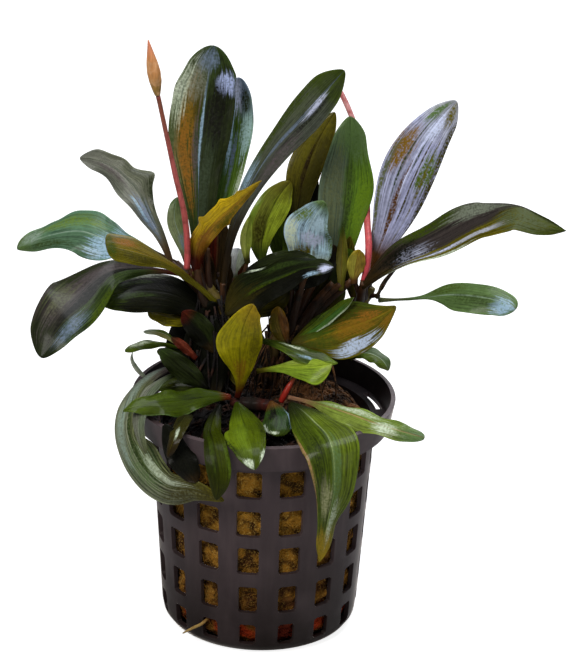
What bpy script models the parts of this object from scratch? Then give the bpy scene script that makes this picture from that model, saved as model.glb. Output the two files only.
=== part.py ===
"""Potted bucephalandra: a tuft of broad and narrow leaves on creeping rhizomes, two flower stalks,
and a mat of roots over a plug of rooting wool in a round net pot.

Metres, +Z up. The origin is the centre of the pot's underside, and -Y is the side that the
plant's widest leaves face. Lengths in the tables are millimetres.
"""

import math

import bmesh
import bpy
import numpy as np
from mathutils import Matrix

MM = 0.001

# Net pot, turned about Z: a tapering basket, a ledge and a wider collar. Each row of holes gives
# the height of its middle, its width and its height; each slot gives its inner and outer radius,
# the degrees that it spans and how many there are.
POT_STEPS = 32
POT_TURN = math.radians(-6.5)
BASE_THICK = 1.2
LEDGE_LOW = 45.3
LEDGE_HIGH = 46.3
RIM_HEIGHT = 50.8
RIM_RADIUS = 27.5
COLLAR_RADIUS = 26.5
BODY_TOP_RADIUS = 23.5
BODY_LOW_RADIUS = 20.8
WALL = 1.0
HOLE_COLUMNS = 16
HOLE_ROWS = ((40.3, 5.4, 6.1), (31.3, 5.1, 6), (22.5, 4.5, 6.2), (13.3, 4, 6.2), (4.9, 3.5, 4.8))
LEDGE_SLOT = (23.9, 25.2, 20.0, 8)
BASE_SLOT = (7.0, 15.0, 30.0, 8)
LEDGE_SLOT_TURN = math.radians(108)

# Rooting wool, cut to the pot, and the mat of roots over it.
WOOL_PROFILE = ((0, 43), (21.7, 43), (19.6, 6), (18.9, 3.4), (17.4, 1.6), (0, 1.6))
ROOT_RADIUS = 21.6
ROOT_FLOOR = 43.3
ROOT_RISE = 6.0
ROOT_TILT = (0.08, 0.16)

# Leaves: thickness, and half widths at the foot and at the tip.
LEAF_THICK = 0.5
STALK = 0.6
TIP = 0.25
STATIONS = np.array([0, 0.2, 0.4, 0.6, 0.8, 0.93, 1])

# Ways that an upper face looks.
FRONT = ((0, -0.92, 0.38),)
UP = ((0, -0.6, 0.8),)
SLANT = ((0, -0.7, 0.7),)
SIDE = ((-0.2, -0.75, 0.65),)
SKY = ((0, 0.1, 1),)

# Leaf colours: red, green, blue.
DARK = (0.06, 0.07, 0.04)
GREEN = (0.13, 0.24, 0.04)
OLIVE = (0.25, 0.22, 0.03)
SILVER = (0.36, 0.40, 0.48)
STEM = (0.30, 0.08, 0.06)


def oval(widest):
    """Half widths of a leaf that is widest at its middle."""
    return tuple(widest * share for share in (0.55, 0.9, 1, 0.8, 0.5))


def spoon(widest):
    """Half widths of a leaf that is widest near its tip."""
    return tuple(widest * share for share in (0.25, 0.5, 0.9, 1, 0.7))


def lance(widest):
    """Half widths of a leaf that narrows all the way to its tip."""
    return tuple(widest * share for share in (0.7, 1, 0.95, 0.6, 0.28))


# Name, midrib from foot to tip, half widths left and right of it, face, fold in degrees, colour.
LEAVES = (
    ("leaf_01", ((-14.5, 8, 75.5), (-14.5, 11, 86), (-14.5, 16, 98.5), (-13.5, 20, 109),
     (-12, 23, 119)),
     (1.9, 4.4, 6.4, 5.4, 3.2), (2.8, 4.5, 6.1, 5.8, 4.2), FRONT, 8, DARK),
    ("leaf_02", ((-11.5, 11, 70), (-10.5, 15.5, 84.3), (-8.5, 20.5, 94.8), (-7.5, 24.5, 103.3),
     (-6.8, 27, 111)),
     (1.2, 2.5, 3.2, 3, 1.7), (1.2, 2.5, 3.2, 3.8, 2.3), FRONT, 8, DARK),
    ("leaf_03", ((-9, 7, 71), (-6, 8, 88.5), (0.5, 7, 102), (7.5, 4, 111.5), (14.5, 0, 121.5)),
     (0.8, 1.7, 1.9, 2.8, 2.1), (1.1, 1.9, 2.8, 3.2, 2.5), FRONT, 10, DARK),
    ("leaf_04", ((7, 15, 74.5), (6.5, 19, 87), (9, 22, 96), (13.5, 25, 104.5)),
     (1.1, 2.5, 3.6, 2.5, 1.3), (1.1, 2.1, 2.8, 2.3, 1.3), FRONT, 8, OLIVE),
    ("leaf_05", ((14, 7, 71.5), (15, 10, 80.5), (16, 13, 90.5), (16.5, 16, 99.5), (16.5, 18, 106)),
     (3.2, 5.1, 5.7, 4.2, 2.5), (2.7, 4.1, 5.5, 3.7, 2.7), FRONT, 8, DARK),
    ("leaf_06", ((21.5, 8.5, 75), (25, 11, 85), (28.5, 13, 95.5), (33, 16, 103.5),
     (38.5, 19, 109.5)),
     (2.7, 4.7, 5.5, 4.1, 2.3), (3.2, 5.4, 5.7, 4.6, 2.9), FRONT, 6, SILVER),
    ("leaf_07", ((20, 4, 73.5), (27.5, 0, 80.5), (35, -4, 86), (43, -9, 93), (50, -13, 98),
     (54.5, -15, 96.5), (59, -16, 94.5)),
     (4.7, 5.5, 5.3, 0.6, 0.4), (0.8, 2.4, 2.7, 4.8, 2.8), SIDE, 0, DARK),
    ("leaf_08", ((23.5, 6, 70), (28.5, 3, 71.5), (32.5, 0, 73), (37.5, -3, 75), (42.5, -6, 76),
     (47, -8, 76), (50.5, -10, 75)),
     (0.3, 1.7, 3.4, 3.1, 2.8), (0.3, 0.6, 3.5, 3.6, 3), ((0.2, -0.7, 0.7),), 0, GREEN),
    ("leaf_09", ((5, 1, 61), (11.5, -1, 64), (17.5, -3, 67.5), (22.5, -5, 70.5), (26.5, -6, 73.5)),
     (4.7, 6.2, 5.5, 3.2, 1.3), (2.1, 5.7, 5.9, 4.1, 1.9), SIDE, 0, OLIVE),
    ("leaf_10", ((18, 10, 55), (21.5, 9, 56.5), (24, 8, 56), (26, 6, 54)),
     (0.8, 1.9, 1.7, 1.5, 0.6), (0.8, 1.3, 1.5, 1.2, 0.7), ((0.3, -0.4, 0.9),), 0, GREEN),
    ("leaf_11", ((-0.5, -2, 63.5), (3, -4, 63.5), (7.5, -6, 62.5), (11.5, -6.5, 61.5),
     (15, -7, 61)),
     (0.6, 0.8, 1.3, 1.3, 0.6), (0.6, 1.1, 1.3, 1.1, 0.6), UP, 0, GREEN),
    ("leaf_12", ((-5.5, -5, 52), (-5, -6.5, 59), (-5, -7.5, 65), (-4, -8, 70.5), (-2.5, -8, 74)),
     (1.7, 4, 5.1, 2.8, 1.3), (2.5, 4, 4.4, 3.3, 1.5), FRONT, 8, OLIVE),
    ("leaf_13", ((-7, -5, 52), (-12, -8.5, 53.2), (-17, -12, 53.7), (-22.5, -15, 54.4),
     (-28.5, -17, 53.6)),
     (0.8, 2.2, 3, 1.7, 0.8), (1.7, 2.5, 2.8, 1.9, 1.3), UP, 0, GREEN),
    ("leaf_14", ((-5.5, -6, 51), (-4.2, -12.2, 50.1), (-2.9, -25.4, 52.7), (-2, -31, 52),
     (-1.5, -34, 49.2)),
     (3.2, 3.7, 3.6, 2.8, 1.7), (2.7, 3.5, 4.7, 4, 2.5), UP, 0, GREEN),
    ("leaf_15", ((1.5, -8.4, 52.4), (2.7, -13, 51), (2.5, -16.6, 48.6)),
     (1.5, 2.3, 3, 2.7, 1.6), (1.6, 2, 2.6, 2.5, 1.6), UP, 0, GREEN),
    ("leaf_16", ((5.5, -8.8, 52.5), (10.2, -18, 52.7), (14, -28.5, 51.3), (14.5, -30.5, 45.6),
     (13.5, -28.5, 36), (12, -26, 25)),
     (4, 5.7, 4.2, 1.9, 1.5), (4.7, 5.9, 4, 1.9, 1.3),
     ((0, -0.3, 0.95), (0.1, -0.8, 0.6), (0.1, -1, 0.1)), 0, GREEN),
    ("leaf_17", ((4, -4, 52), (11.5, -9.5, 52.7), (17.5, -14, 52.8), (23, -18, 52.5),
     (28, -21, 52.3), (32.5, -23, 51.9)),
     (0.6, 1.7, 2.3, 2.1, 1.7), (0.6, 2.3, 2.8, 1.9, 1.5), UP, 0, GREEN),
    ("leaf_18", ((-9, -8, 51.2), (-10.6, -19.5, 50.8), (-9.6, -28.1, 51), (-8.5, -31.5, 46.2),
     (-9, -31.5, 41.2)),
     (1.7, 2.3, 2.5, 2.5, 1.5), (1.2, 1.1, 1.6, 2.4, 1.5),
     ((0, -0.3, 0.95), (0, -1, 0.2)), 0, GREEN),
    ("leaf_19", ((-18, 8, 53), (-23.5, 1, 53.3), (-27, -7.5, 52), (-27.6, -13.5, 47.2),
     (-24.5, -17, 41.5), (-19.5, -22, 39.3), (-13.5, -26, 40.3), (-7.5, -28, 39.3)),
     (1.7, 4, 2.8, 2.3, 1.3), (2.5, 3.2, 2.5, 2.1, 1.1),
     ((-0.2, -0.3, 0.9), (-0.6, -0.7, 0.4), (-0.4, -0.9, 0.1), (0, -1, 0)), 0, SILVER),
    ("leaf_20", ((-18, 0, 54.7), (-22.5, -6.8, 55), (-25, -14.5, 53.2), (-25, -19.5, 50.2),
     (-23.5, -21.5, 46.3)),
     oval(1.7), oval(1.7), ((-0.2, -0.3, 0.9), (-0.6, -0.7, 0.4)), 0, SILVER),
    ("leaf_21", ((-14.5, 6, 57), (-20, 5, 59), (-24, 2, 60.5), (-29, -1, 60)),
     spoon(1.1), spoon(1.1), UP, 0, GREEN),
    ("leaf_22", ((-16, 8, 73.5), (-24, 6, 75.5), (-31.5, 0, 76.5), (-36.5, -7, 73),
     (-41, -12, 70), (-45, -16, 64.5)),
     (0.6, 1.3, 2.8, 3.9, 2.5), (0.6, 1.9, 7.4, 7, 4.6), ((-0.1, -0.75, 0.65),), 0, DARK),
    ("leaf_23", ((-12, 6, 65), (-18, 6, 69.5), (-24, 4, 71.5), (-30, 1, 72), (-35, -2, 71.5)),
     (3, 4, 4.2, 3.8, 2.1), (3.4, 4, 3.7, 2.1, 1.5), UP, 0, DARK),
    ("leaf_24", ((-19, 13.5, 74.2), (-26.5, 14, 77.5), (-33.5, 16, 78), (-39.5, 18, 79),
     (-46, 19, 77.5), (-53, 20, 74)),
     (0.8, 4.7, 5.3, 3.6, 2.1), (0.8, 4.2, 5.9, 2.9, 1.6), UP, 0, GREEN),
    ("leaf_25", ((-10.5, 5, 69), (-15.5, 3, 74.5), (-21, 0, 79.5), (-26, -3, 82.5),
     (-32.5, -7, 85.5)),
     (0.6, 0.8, 1.7, 2.8, 2.8), (0.6, 0.8, 1.8, 4, 3.6), UP, 0, OLIVE),
    ("leaf_26", ((-20, 11, 75), (-22.5, 13, 80.5), (-24.5, 15, 83.5), (-27.5, 18, 88),
     (-33, 22, 92), (-40, 25, 93)),
     (1.1, 2.5, 3.5, 1.9, 1.1), (1.1, 2, 4.2, 2.3, 1.5), FRONT, 0, DARK),
    ("leaf_27", ((-16.5, 10, 75), (-18, 12, 80), (-19.5, 14, 84), (-19, 16, 88)),
     oval(1.5), oval(1.5), FRONT, 0, GREEN),
    ("leaf_28", ((-14.5, 6, 75), (-14, 4, 82), (-11, 1, 88), (-6, -2, 94), (-1.5, -5, 99.5)),
     (1.7, 1.5, 1.7, 1.1, 0.6), (1.3, 1.9, 1.7, 0.8, 0.4), FRONT, 0, OLIVE),
    ("leaf_29", ((-1, 13, 75), (-1, 15, 80.5), (1, 17, 86), (4.5, 19, 91)),
     (2.5, 3.4, 3.4, 2.8, 1.7), (1.7, 2.5, 3.2, 2.8, 1.7), FRONT, 0, OLIVE),
    ("leaf_30", ((8, 5, 75), (8, 4, 81.5), (8.5, 2, 87), (11.5, 0, 93.5)),
     (3, 4.1, 5.1, 3.4, 1.9), (3.8, 4.9, 4.5, 3, 1.7), FRONT, 0, SILVER),
    ("leaf_31", ((-8, 2, 67.5), (-3.5, 0, 73.5), (2.5, -3, 78), (8.5, -6, 81.5), (13.5, -8, 82.5)),
     (4.2, 3.6, 3.4, 2.1, 1.3), (2.1, 3.6, 3.2, 2.3, 1.5), SLANT, 0, DARK),
    ("leaf_32", ((-14.5, -8, 50), (-16.5, -18.5, 52), (-17.5, -24.5, 51.7), (-19, -26, 47.7)),
     oval(1.9), oval(1.9), ((0, -0.3, 0.95), (-0.5, -0.8, 0.3)), 0, OLIVE),
    ("leaf_33", ((18, 4.3, 74.3), (18.3, 4.3, 77.7), (19, 4.3, 81.7)),
     oval(1.5), oval(1.5), FRONT, 0, OLIVE),
    ("leaf_34", ((-13, 7, 54), (-17.5, 5, 56.5), (-22.5, 3, 58.5)),
     oval(1.5), oval(1.5), UP, 0, DARK),
    ("leaf_35", ((-12.5, -1, 51), (-17, 0.3, 52), (-22, -1.7, 52)),
     oval(1.7), oval(1.7), UP, 0, OLIVE),
    ("leaf_36", ((15.5, 6, 72), (15.5, 6, 79), (15.5, 7, 86)),
     lance(1.2), lance(1.2), FRONT, 0, OLIVE),
    ("leaf_37", ((5, 0, 61.5), (3, 0, 65.5), (2.5, 1, 70)),
     oval(1.9), oval(1.9), FRONT, 0, OLIVE),
    ("leaf_38", ((-4, 10, 76), (-4.5, 10, 81), (-3.5, 11, 86.5)),
     lance(1), lance(1), FRONT, 0, GREEN),
    ("leaf_39", ((-6.5, 11, 72), (-6.5, 11, 75.5), (-6, 12, 78.5)),
     spoon(1.7), spoon(1.7), FRONT, 0, SILVER),
    ("leaf_40", ((-14.5, 6.5, 64.3), (-19, 4.8, 65.3), (-24.5, 3.5, 66.9)),
     oval(2.1), oval(2.1), UP, 0, OLIVE),
    ("leaf_41", ((23, 5, 71), (24, 4, 74), (26, 4, 77.5)),
     lance(0.5), lance(0.5), FRONT, 0, STEM),
    ("leaf_42", ((-14, 4, 56.5), (-18, 5, 59), (-21, 6, 61), (-25.5, 6, 61.5)),
     spoon(0.8), spoon(0.8), UP, 0, GREEN),
    ("leaf_43", ((-22.5, 6, 49.5), (-25.5, 5.5, 51.8), (-27.5, 4.5, 55), (-27.5, 2, 58.5)),
     lance(0.5), lance(0.5), FRONT, 0, STEM),
    ("leaf_44", ((-1.5, -4, 57), (4, -6, 58), (8.5, -8, 58.5), (12.5, -9, 58.5)),
     (0.4, 0.6, 1.3, 1.9, 1.7), (0.4, 0.6, 1.3, 1.9, 1.7), SLANT, 0, GREEN),
    ("leaf_45", ((-9, 9.5, 64), (-12, 17, 66), (-15, 26, 64), (-17, 33, 58)),
     oval(3.4), oval(3.4), SKY, 0, GREEN),
    ("leaf_46", ((13, 11.4, 57), (15, 20, 58), (16.5, 28, 56.5), (17.5, 35, 51.5)),
     oval(3), oval(3), SKY, 0, GREEN),
    ("leaf_47", ((3, 10, 51.2), (4, 16, 57.5), (4.5, 25, 60), (4.5, 33, 56)),
     lance(1.8), lance(1.8), SKY, 0, GREEN),
    ("shoot_front", ((3.6, -5.4, 51.4), (4.8, -5, 54), (6.5, -4, 56.5)),
     lance(0.5), lance(0.5), FRONT, 0, STEM),
)

# Round stems: name, line, radius, share of it at each point of the line, colour.
STEMS = (
    ("peduncle_left", ((-16.5, 3.5, 77), (-16.5, 3, 83.5), (-17, 2.5, 88.5), (-19, 1.5, 98),
     (-21, 0, 108), (-22.5, -1, 115.5)),
     0.6, (1, 1, 0.9, 0.8, 0.8, 0.8), STEM),
    ("flower_bud", ((-22.6, -1, 116), (-23.1, -1.3, 119), (-23.6, -1.6, 122),
     (-24.1, -1.8, 125), (-24.5, -2, 128)),
     1.2, (0.5, 0.95, 1, 0.6, 0.15), OLIVE),
    ("peduncle_right", ((20, 5.5, 73.5), (20.9, 5.7, 80), (20.6, 12.2, 85.5), (20, 18, 94.5),
     (17, 22, 104.5), (14.5, 23, 109.5)),
     0.7, (1, 1, 1, 0.9, 0.8, 0.8), STEM),
    ("bud_right", ((14.2, 23.4, 109.9), (13.8, 25, 111), (13.4, 27.5, 111.5), (13, 30, 111.5)),
     1.1, (0.5, 1, 0.8, 0.15), OLIVE),
    ("rhizome_left", ((-5.5, 6, 50.8), (-7.5, 7, 57.5), (-9, 7, 64.5), (-10, 7, 68),
     (-13, 8, 72), (-15, 9, 74.5)),
     1.4, (1, 1, 1, 1, 0.9, 0.6), STEM),
    ("rhizome_middle", ((0.5, 4.5, 51.2), (1.5, 4.5, 57), (2.5, 5.5, 63), (3, 8.5, 69),
     (3, 10.5, 73)),
     1.3, (1, 1, 1, 0.9, 0.6), STEM),
    ("rhizome_right", ((9, 8, 51.2), (13.5, 9, 58.5), (18, 9, 64.5), (21, 8, 70), (22, 8, 72)),
     1.5, (1, 1, 1, 0.9, 0.6), STEM),
    ("rhizome_front", ((-7, -4, 50.5), (-2, -5, 50.5), (2, -6, 50.8)),
     1.4, (0.6, 1, 0.7), STEM),
    ("stray_root", ((-10.6, -16.6, 6.5), (-11.7, -18.1, 6), (-13.5, -17.6, 4.7), (-15.8, -16, 2.4)),
     0.25, (1, 1, 1, 0.6), OLIVE),
)


def start_empty():
    """Removes every object and returns the collections for the parts and for the cutters."""
    for obj in list(bpy.data.objects):
        bpy.data.objects.remove(obj)
    parts = bpy.data.collections.new("potted_bucephalandra")
    cutters = bpy.data.collections.new("cutters")
    cutters.hide_render = True
    for collection in (parts, cutters):
        bpy.context.scene.collection.children.link(collection)
    return parts, cutters


def paint(obj, colour, roughness):
    """Gives the object its own plain material."""
    material = bpy.data.materials.new(obj.name)
    material.use_nodes = True
    shader = material.node_tree.nodes["Principled BSDF"]
    shader.inputs["Base Color"].default_value = (*colour, 1)
    shader.inputs["Roughness"].default_value = roughness
    material.diffuse_color = (*colour, 1)
    obj.data.materials.append(material)


def mesh_object(name, bm, collection):
    """Makes an object of a bmesh whose lengths are millimetres."""
    bmesh.ops.scale(bm, vec=(MM, MM, MM), verts=bm.verts)
    mesh = bpy.data.meshes.new(name)
    bm.to_mesh(mesh)
    bm.free()
    obj = bpy.data.objects.new(name, mesh)
    collection.objects.link(obj)
    return obj


def turned(name, profile, steps, turn, collection):
    """A solid of revolution about Z of a profile of (radius, height) pairs."""
    bm = bmesh.new()
    points = [bm.verts.new((r * math.cos(turn), r * math.sin(turn), z)) for r, z in profile]
    for first, second in zip(points, points[1:]):
        bm.edges.new((first, second))
    if profile[0][0] > 0:
        bm.edges.new((points[-1], points[0]))
    obj = mesh_object(name, bm, collection)
    screw = obj.modifiers.new("Turn", "SCREW")
    screw.axis = "Z"
    screw.angle = 2 * math.pi
    screw.steps = steps
    screw.render_steps = steps
    screw.use_merge_vertices = True
    screw.merge_threshold = 0.00001
    return obj


def cutter(name, bm, cutters):
    """A wire-drawn helper that isn't rendered."""
    obj = mesh_object(name, bm, cutters)
    obj.hide_render = True
    obj.display_type = "WIRE"
    return obj


def cut(obj, helper):
    """Takes the helper's shape away from the object."""
    step = obj.modifiers.new(helper.name, "BOOLEAN")
    step.operation = "DIFFERENCE"
    step.solver = "EXACT"
    step.object = helper


def hole_blocks(cutters):
    """One block per square hole in the basket's wall."""
    bm = bmesh.new()
    for column in range(HOLE_COLUMNS):
        turn = Matrix.Rotation(POT_TURN + 2 * math.pi * column / HOLE_COLUMNS, 4, "Z")
        for height, wide, high in HOLE_ROWS:
            place = Matrix.Translation((0, -22.5, height))
            size = Matrix.Diagonal((wide, 10, high, 1))
            bmesh.ops.create_cube(bm, size=1, matrix=turn @ place @ size)
    return cutter("wall_holes", bm, cutters)


def ring_slots(name, slot, turn, height, thick, cutters):
    """Curved slots in a ring: flat strips bent about Z, then thickened."""
    inner, outer, degrees, count = slot
    bm = bmesh.new()
    for index in range(count):
        strip = bmesh.ops.create_grid(bm, x_segments=4, y_segments=1, size=0.5)["verts"]
        middle = turn + 2 * math.pi * index / count
        for vert in strip:
            angle = middle + vert.co.x * math.radians(degrees)
            radius = inner + (vert.co.y + 0.5) * (outer - inner)
            vert.co = (radius * math.sin(angle), -radius * math.cos(angle), height)
    obj = cutter(name, bm, cutters)
    solidify = obj.modifiers.new("Thicken", "SOLIDIFY")
    solidify.thickness = thick * MM
    solidify.offset = 0
    return obj


def net_pot(parts, cutters):
    """Basket, ledge and collar in one wall, with its holes and slots."""
    body_slope = (BODY_TOP_RADIUS - BODY_LOW_RADIUS) / (LEDGE_LOW - 4)
    profile = (
        (0, 0), (17.8, 0), (19.4, 0.6), (20.4, 2), (BODY_LOW_RADIUS, 4),
        (BODY_TOP_RADIUS, LEDGE_LOW), (COLLAR_RADIUS, LEDGE_LOW), (RIM_RADIUS, RIM_HEIGHT),
        (RIM_RADIUS - WALL, RIM_HEIGHT), (COLLAR_RADIUS - WALL, LEDGE_HIGH),
        (BODY_TOP_RADIUS - WALL, LEDGE_HIGH), (BODY_LOW_RADIUS - WALL + body_slope, 4.5),
        (19.3, 2.4), (18, BASE_THICK), (0, BASE_THICK),
    )
    pot = turned("net_pot", profile, POT_STEPS, POT_TURN, parts)
    cut(pot, hole_blocks(cutters))
    ledge_middle = (LEDGE_LOW + LEDGE_HIGH) / 2
    cut(pot, ring_slots("ledge_slots", LEDGE_SLOT, LEDGE_SLOT_TURN, ledge_middle, 2, cutters))
    cut(pot, ring_slots("base_slots", BASE_SLOT, POT_TURN, BASE_THICK / 2, 3, cutters))
    paint(pot, (0.07, 0.065, 0.08), 0.55)


def root_mat(parts):
    """A low dome with a flat underside, higher at the back right."""
    bm = bmesh.new()
    bmesh.ops.create_uvsphere(bm, u_segments=24, v_segments=12, radius=1)
    for vert in bm.verts:
        x = vert.co.x * ROOT_RADIUS
        y = vert.co.y * ROOT_RADIUS
        rise = ROOT_RISE + ROOT_TILT[0] * x + ROOT_TILT[1] * y
        vert.co = (x, y, ROOT_FLOOR + max(vert.co.z, 0) * rise)
    obj = mesh_object("root_mat", bm, parts)
    paint(obj, (0.09, 0.05, 0.025), 0.9)


def hermite(values, knots, t):
    """Values between the knots along a smooth curve through all of them."""
    slope = np.gradient(values, knots, axis=0, edge_order=2 if len(values) > 2 else 1)
    k = np.clip(np.searchsorted(knots, t, side="right") - 1, 0, len(values) - 2)
    step = (knots[k + 1] - knots[k])[:, None]
    u = (t - knots[k])[:, None] / step
    ends = (2 * u**3 - 3 * u**2 + 1) * values[k] + (3 * u**2 - 2 * u**3) * values[k + 1]
    bends = (u**3 - 2 * u**2 + u) * slope[k] + (u**3 - u**2) * slope[k + 1]
    return ends + step * bends


def line_through(points, t):
    """Points at the shares t of the length of a smooth line through the given points."""
    points = np.array(points, float)
    length = np.cumsum(np.linalg.norm(np.diff(points, axis=0), axis=1))
    knots = np.concatenate([[0], length / length[-1]])
    return hermite(points, knots, t)


def unit(vectors):
    return vectors / np.linalg.norm(vectors, axis=-1, keepdims=True)


def leaf(name, points, left, right, faces, fold, colour, parts):
    """A strip bent along the midrib, as wide as the half widths say, then thickened."""
    along = len(points) + 2
    bm = bmesh.new()
    bmesh.ops.create_grid(bm, x_segments=2, y_segments=along, size=0.5)
    flat = np.array([vert.co for vert in bm.verts])
    across = flat[:, 0] * 2
    share = flat[:, 1] + 0.5
    t = np.linspace(0, 1, along + 1)
    middle = line_through(points, t)
    tangent = unit(np.gradient(line_through(points, np.linspace(0, 1, 201)), axis=0))
    tangent = tangent[np.round(t * 200).astype(int)]
    ways = unit(np.array(faces, float))
    spread = np.linspace(0, 1, len(ways))
    normal = np.stack([np.interp(t, spread, ways[:, axis]) for axis in range(3)], axis=-1)
    side = unit(np.cross(tangent, normal))
    normal = np.cross(side, tangent)
    row = np.round(share * along).astype(int)
    knots = [np.array([[STALK], *[[w] for w in widths], [TIP]]) for widths in (left, right)]
    half = [hermite(values, STATIONS, t)[:, 0] for values in knots]
    width = np.where(across < 0, half[0][row], half[1][row])
    lift = math.radians(fold)
    place = middle[row] + side[row] * (width * across * math.cos(lift))[:, None]
    place += normal[row] * (width * np.abs(across) * math.sin(lift))[:, None]
    for vert, where in zip(bm.verts, place):
        vert.co = where
    obj = mesh_object(name, bm, parts)
    solidify = obj.modifiers.new("Thicken", "SOLIDIFY")
    solidify.thickness = LEAF_THICK * MM
    solidify.offset = 0
    paint(obj, colour, 0.35)


def stem(name, points, radius, shares, colour, parts):
    """A round stem with filled ends."""
    points = np.array(points, float)
    t = np.linspace(0, 1, len(points) + 3)
    length = np.cumsum(np.linalg.norm(np.diff(points, axis=0), axis=1))
    knots = np.concatenate([[0], length / length[-1]])
    curve = bpy.data.curves.new(name, "CURVE")
    curve.dimensions = "3D"
    curve.bevel_depth = radius * MM
    curve.bevel_resolution = 2
    curve.use_fill_caps = True
    spline = curve.splines.new("POLY")
    spline.points.add(len(t) - 1)
    places = line_through(points, t)
    for point, where, share in zip(spline.points, places, np.interp(t, knots, shares)):
        point.co = (*(where * MM), 1)
        point.radius = share
    obj = bpy.data.objects.new(name, curve)
    parts.objects.link(obj)
    paint(obj, colour, 0.4)


def main():
    parts, cutters = start_empty()
    net_pot(parts, cutters)
    paint(turned("rooting_wool", WOOL_PROFILE, 24, 0, parts), (0.30, 0.20, 0.08), 0.95)
    root_mat(parts)
    for row in LEAVES:
        leaf(*row, parts)
    for row in STEMS:
        stem(*row, parts)


main()
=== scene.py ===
"""Potted bucephalandra in a net pot, set on a pale floor.

Metres, +Z up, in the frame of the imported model: the origin is the centre of the pot's underside, and
-Y is the side that the widest leaves face. Tables of lines and widths are in millimetres.
"""

import math

import bpy
import numpy as np
from mathutils import Matrix


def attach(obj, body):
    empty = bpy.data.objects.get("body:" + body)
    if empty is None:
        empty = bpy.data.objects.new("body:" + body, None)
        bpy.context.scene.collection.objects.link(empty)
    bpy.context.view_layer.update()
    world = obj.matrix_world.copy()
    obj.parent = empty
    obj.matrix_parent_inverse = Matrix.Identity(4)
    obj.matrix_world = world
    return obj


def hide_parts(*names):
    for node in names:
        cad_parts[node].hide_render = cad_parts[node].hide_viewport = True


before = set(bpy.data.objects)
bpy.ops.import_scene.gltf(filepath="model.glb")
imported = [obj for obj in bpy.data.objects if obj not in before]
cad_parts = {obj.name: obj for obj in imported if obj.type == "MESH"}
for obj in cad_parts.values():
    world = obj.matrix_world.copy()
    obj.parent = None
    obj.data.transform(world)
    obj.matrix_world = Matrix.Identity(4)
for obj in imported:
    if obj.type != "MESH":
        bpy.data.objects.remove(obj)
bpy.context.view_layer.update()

MM = 0.001


# The net pot is one injection moulding of dark grey plastic: a tapering basket with five rows of
# sixteen square holes, a flat ledge with eight curved slots, and a wider collar above it. Its wall
# is one millimetre thick, and every hole's edge is a little rounded.

POT_TURN = -6.5
HOLES = 16
PITCH = 360 / HOLES
# Rows of holes, from the top: the height of their middles, their width and their own height.
HOLE_ROWS = ((40.3, 5.4, 6.1), (31.3, 5.1, 6.0), (22.5, 4.5, 6.2), (13.3, 4.0, 6.2), (4.9, 3.5, 4.8))
HOLE_CORNER = 0.45
BODY_HEIGHTS = (0.6, 2.0, 4.0, 45.3)
BODY_RADII = (19.4, 20.4, 20.8, 23.5)
BASE_RADIUS = 17.8
COLLAR_RADIUS, COLLAR_FLARE, COLLAR_HEIGHT = 26.5, 1.0, 5.5
# Curved slots: from and to which radius, half their width in degrees, and the turn of the first.
SLOTS = 8
SLOT_PITCH = 360 / SLOTS
LEDGE_SLOT = (23.9, 25.2, 10, 108)
BASE_SLOT = (7, 15, 15, -6.5)


def lines_with(edges, step):
    """The edges in order, with even steps between neighbours that are further apart than step."""
    edges = np.unique(np.round(np.array(edges, float), 4))
    spans = zip(edges, edges[1:])
    parts = [np.linspace(a, b, max(1, math.ceil((b - a) / step)) + 1)[:-1] for a, b in spans]
    return np.concatenate([*parts, edges[-1:]])


def nearest_turn(angles, first, pitch):
    """Angles measured from the nearest of first, first + pitch, first + 2 pitch and so on."""
    return (angles - first + pitch / 2) % pitch - pitch / 2


def fill_mesh(mesh, points, faces):
    """Puts points in millimetres and arrays of three- and four-sided faces into a mesh."""
    loops = np.concatenate([block.ravel() for block in faces])
    sizes = np.concatenate([np.full(len(block), block.shape[1]) for block in faces])
    mesh.vertices.add(len(points))
    mesh.vertices.foreach_set("co", (points * MM).astype(np.float32).ravel())
    mesh.loops.add(len(loops))
    mesh.loops.foreach_set("vertex_index", loops.astype(np.int32))
    mesh.polygons.add(len(sizes))
    mesh.polygons.foreach_set("loop_start", (np.cumsum(sizes) - sizes).astype(np.int32))
    mesh.polygons.foreach_set("use_smooth", np.full(len(sizes), True))
    mesh.update(calc_edges=True)


def place(mesh, *materials):
    """An object of the mesh, at the origin, with its materials."""
    obj = bpy.data.objects.new(mesh.name, mesh)
    bpy.context.scene.collection.objects.link(obj)
    for material in materials:
        mesh.materials.append(material)
    return obj


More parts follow.
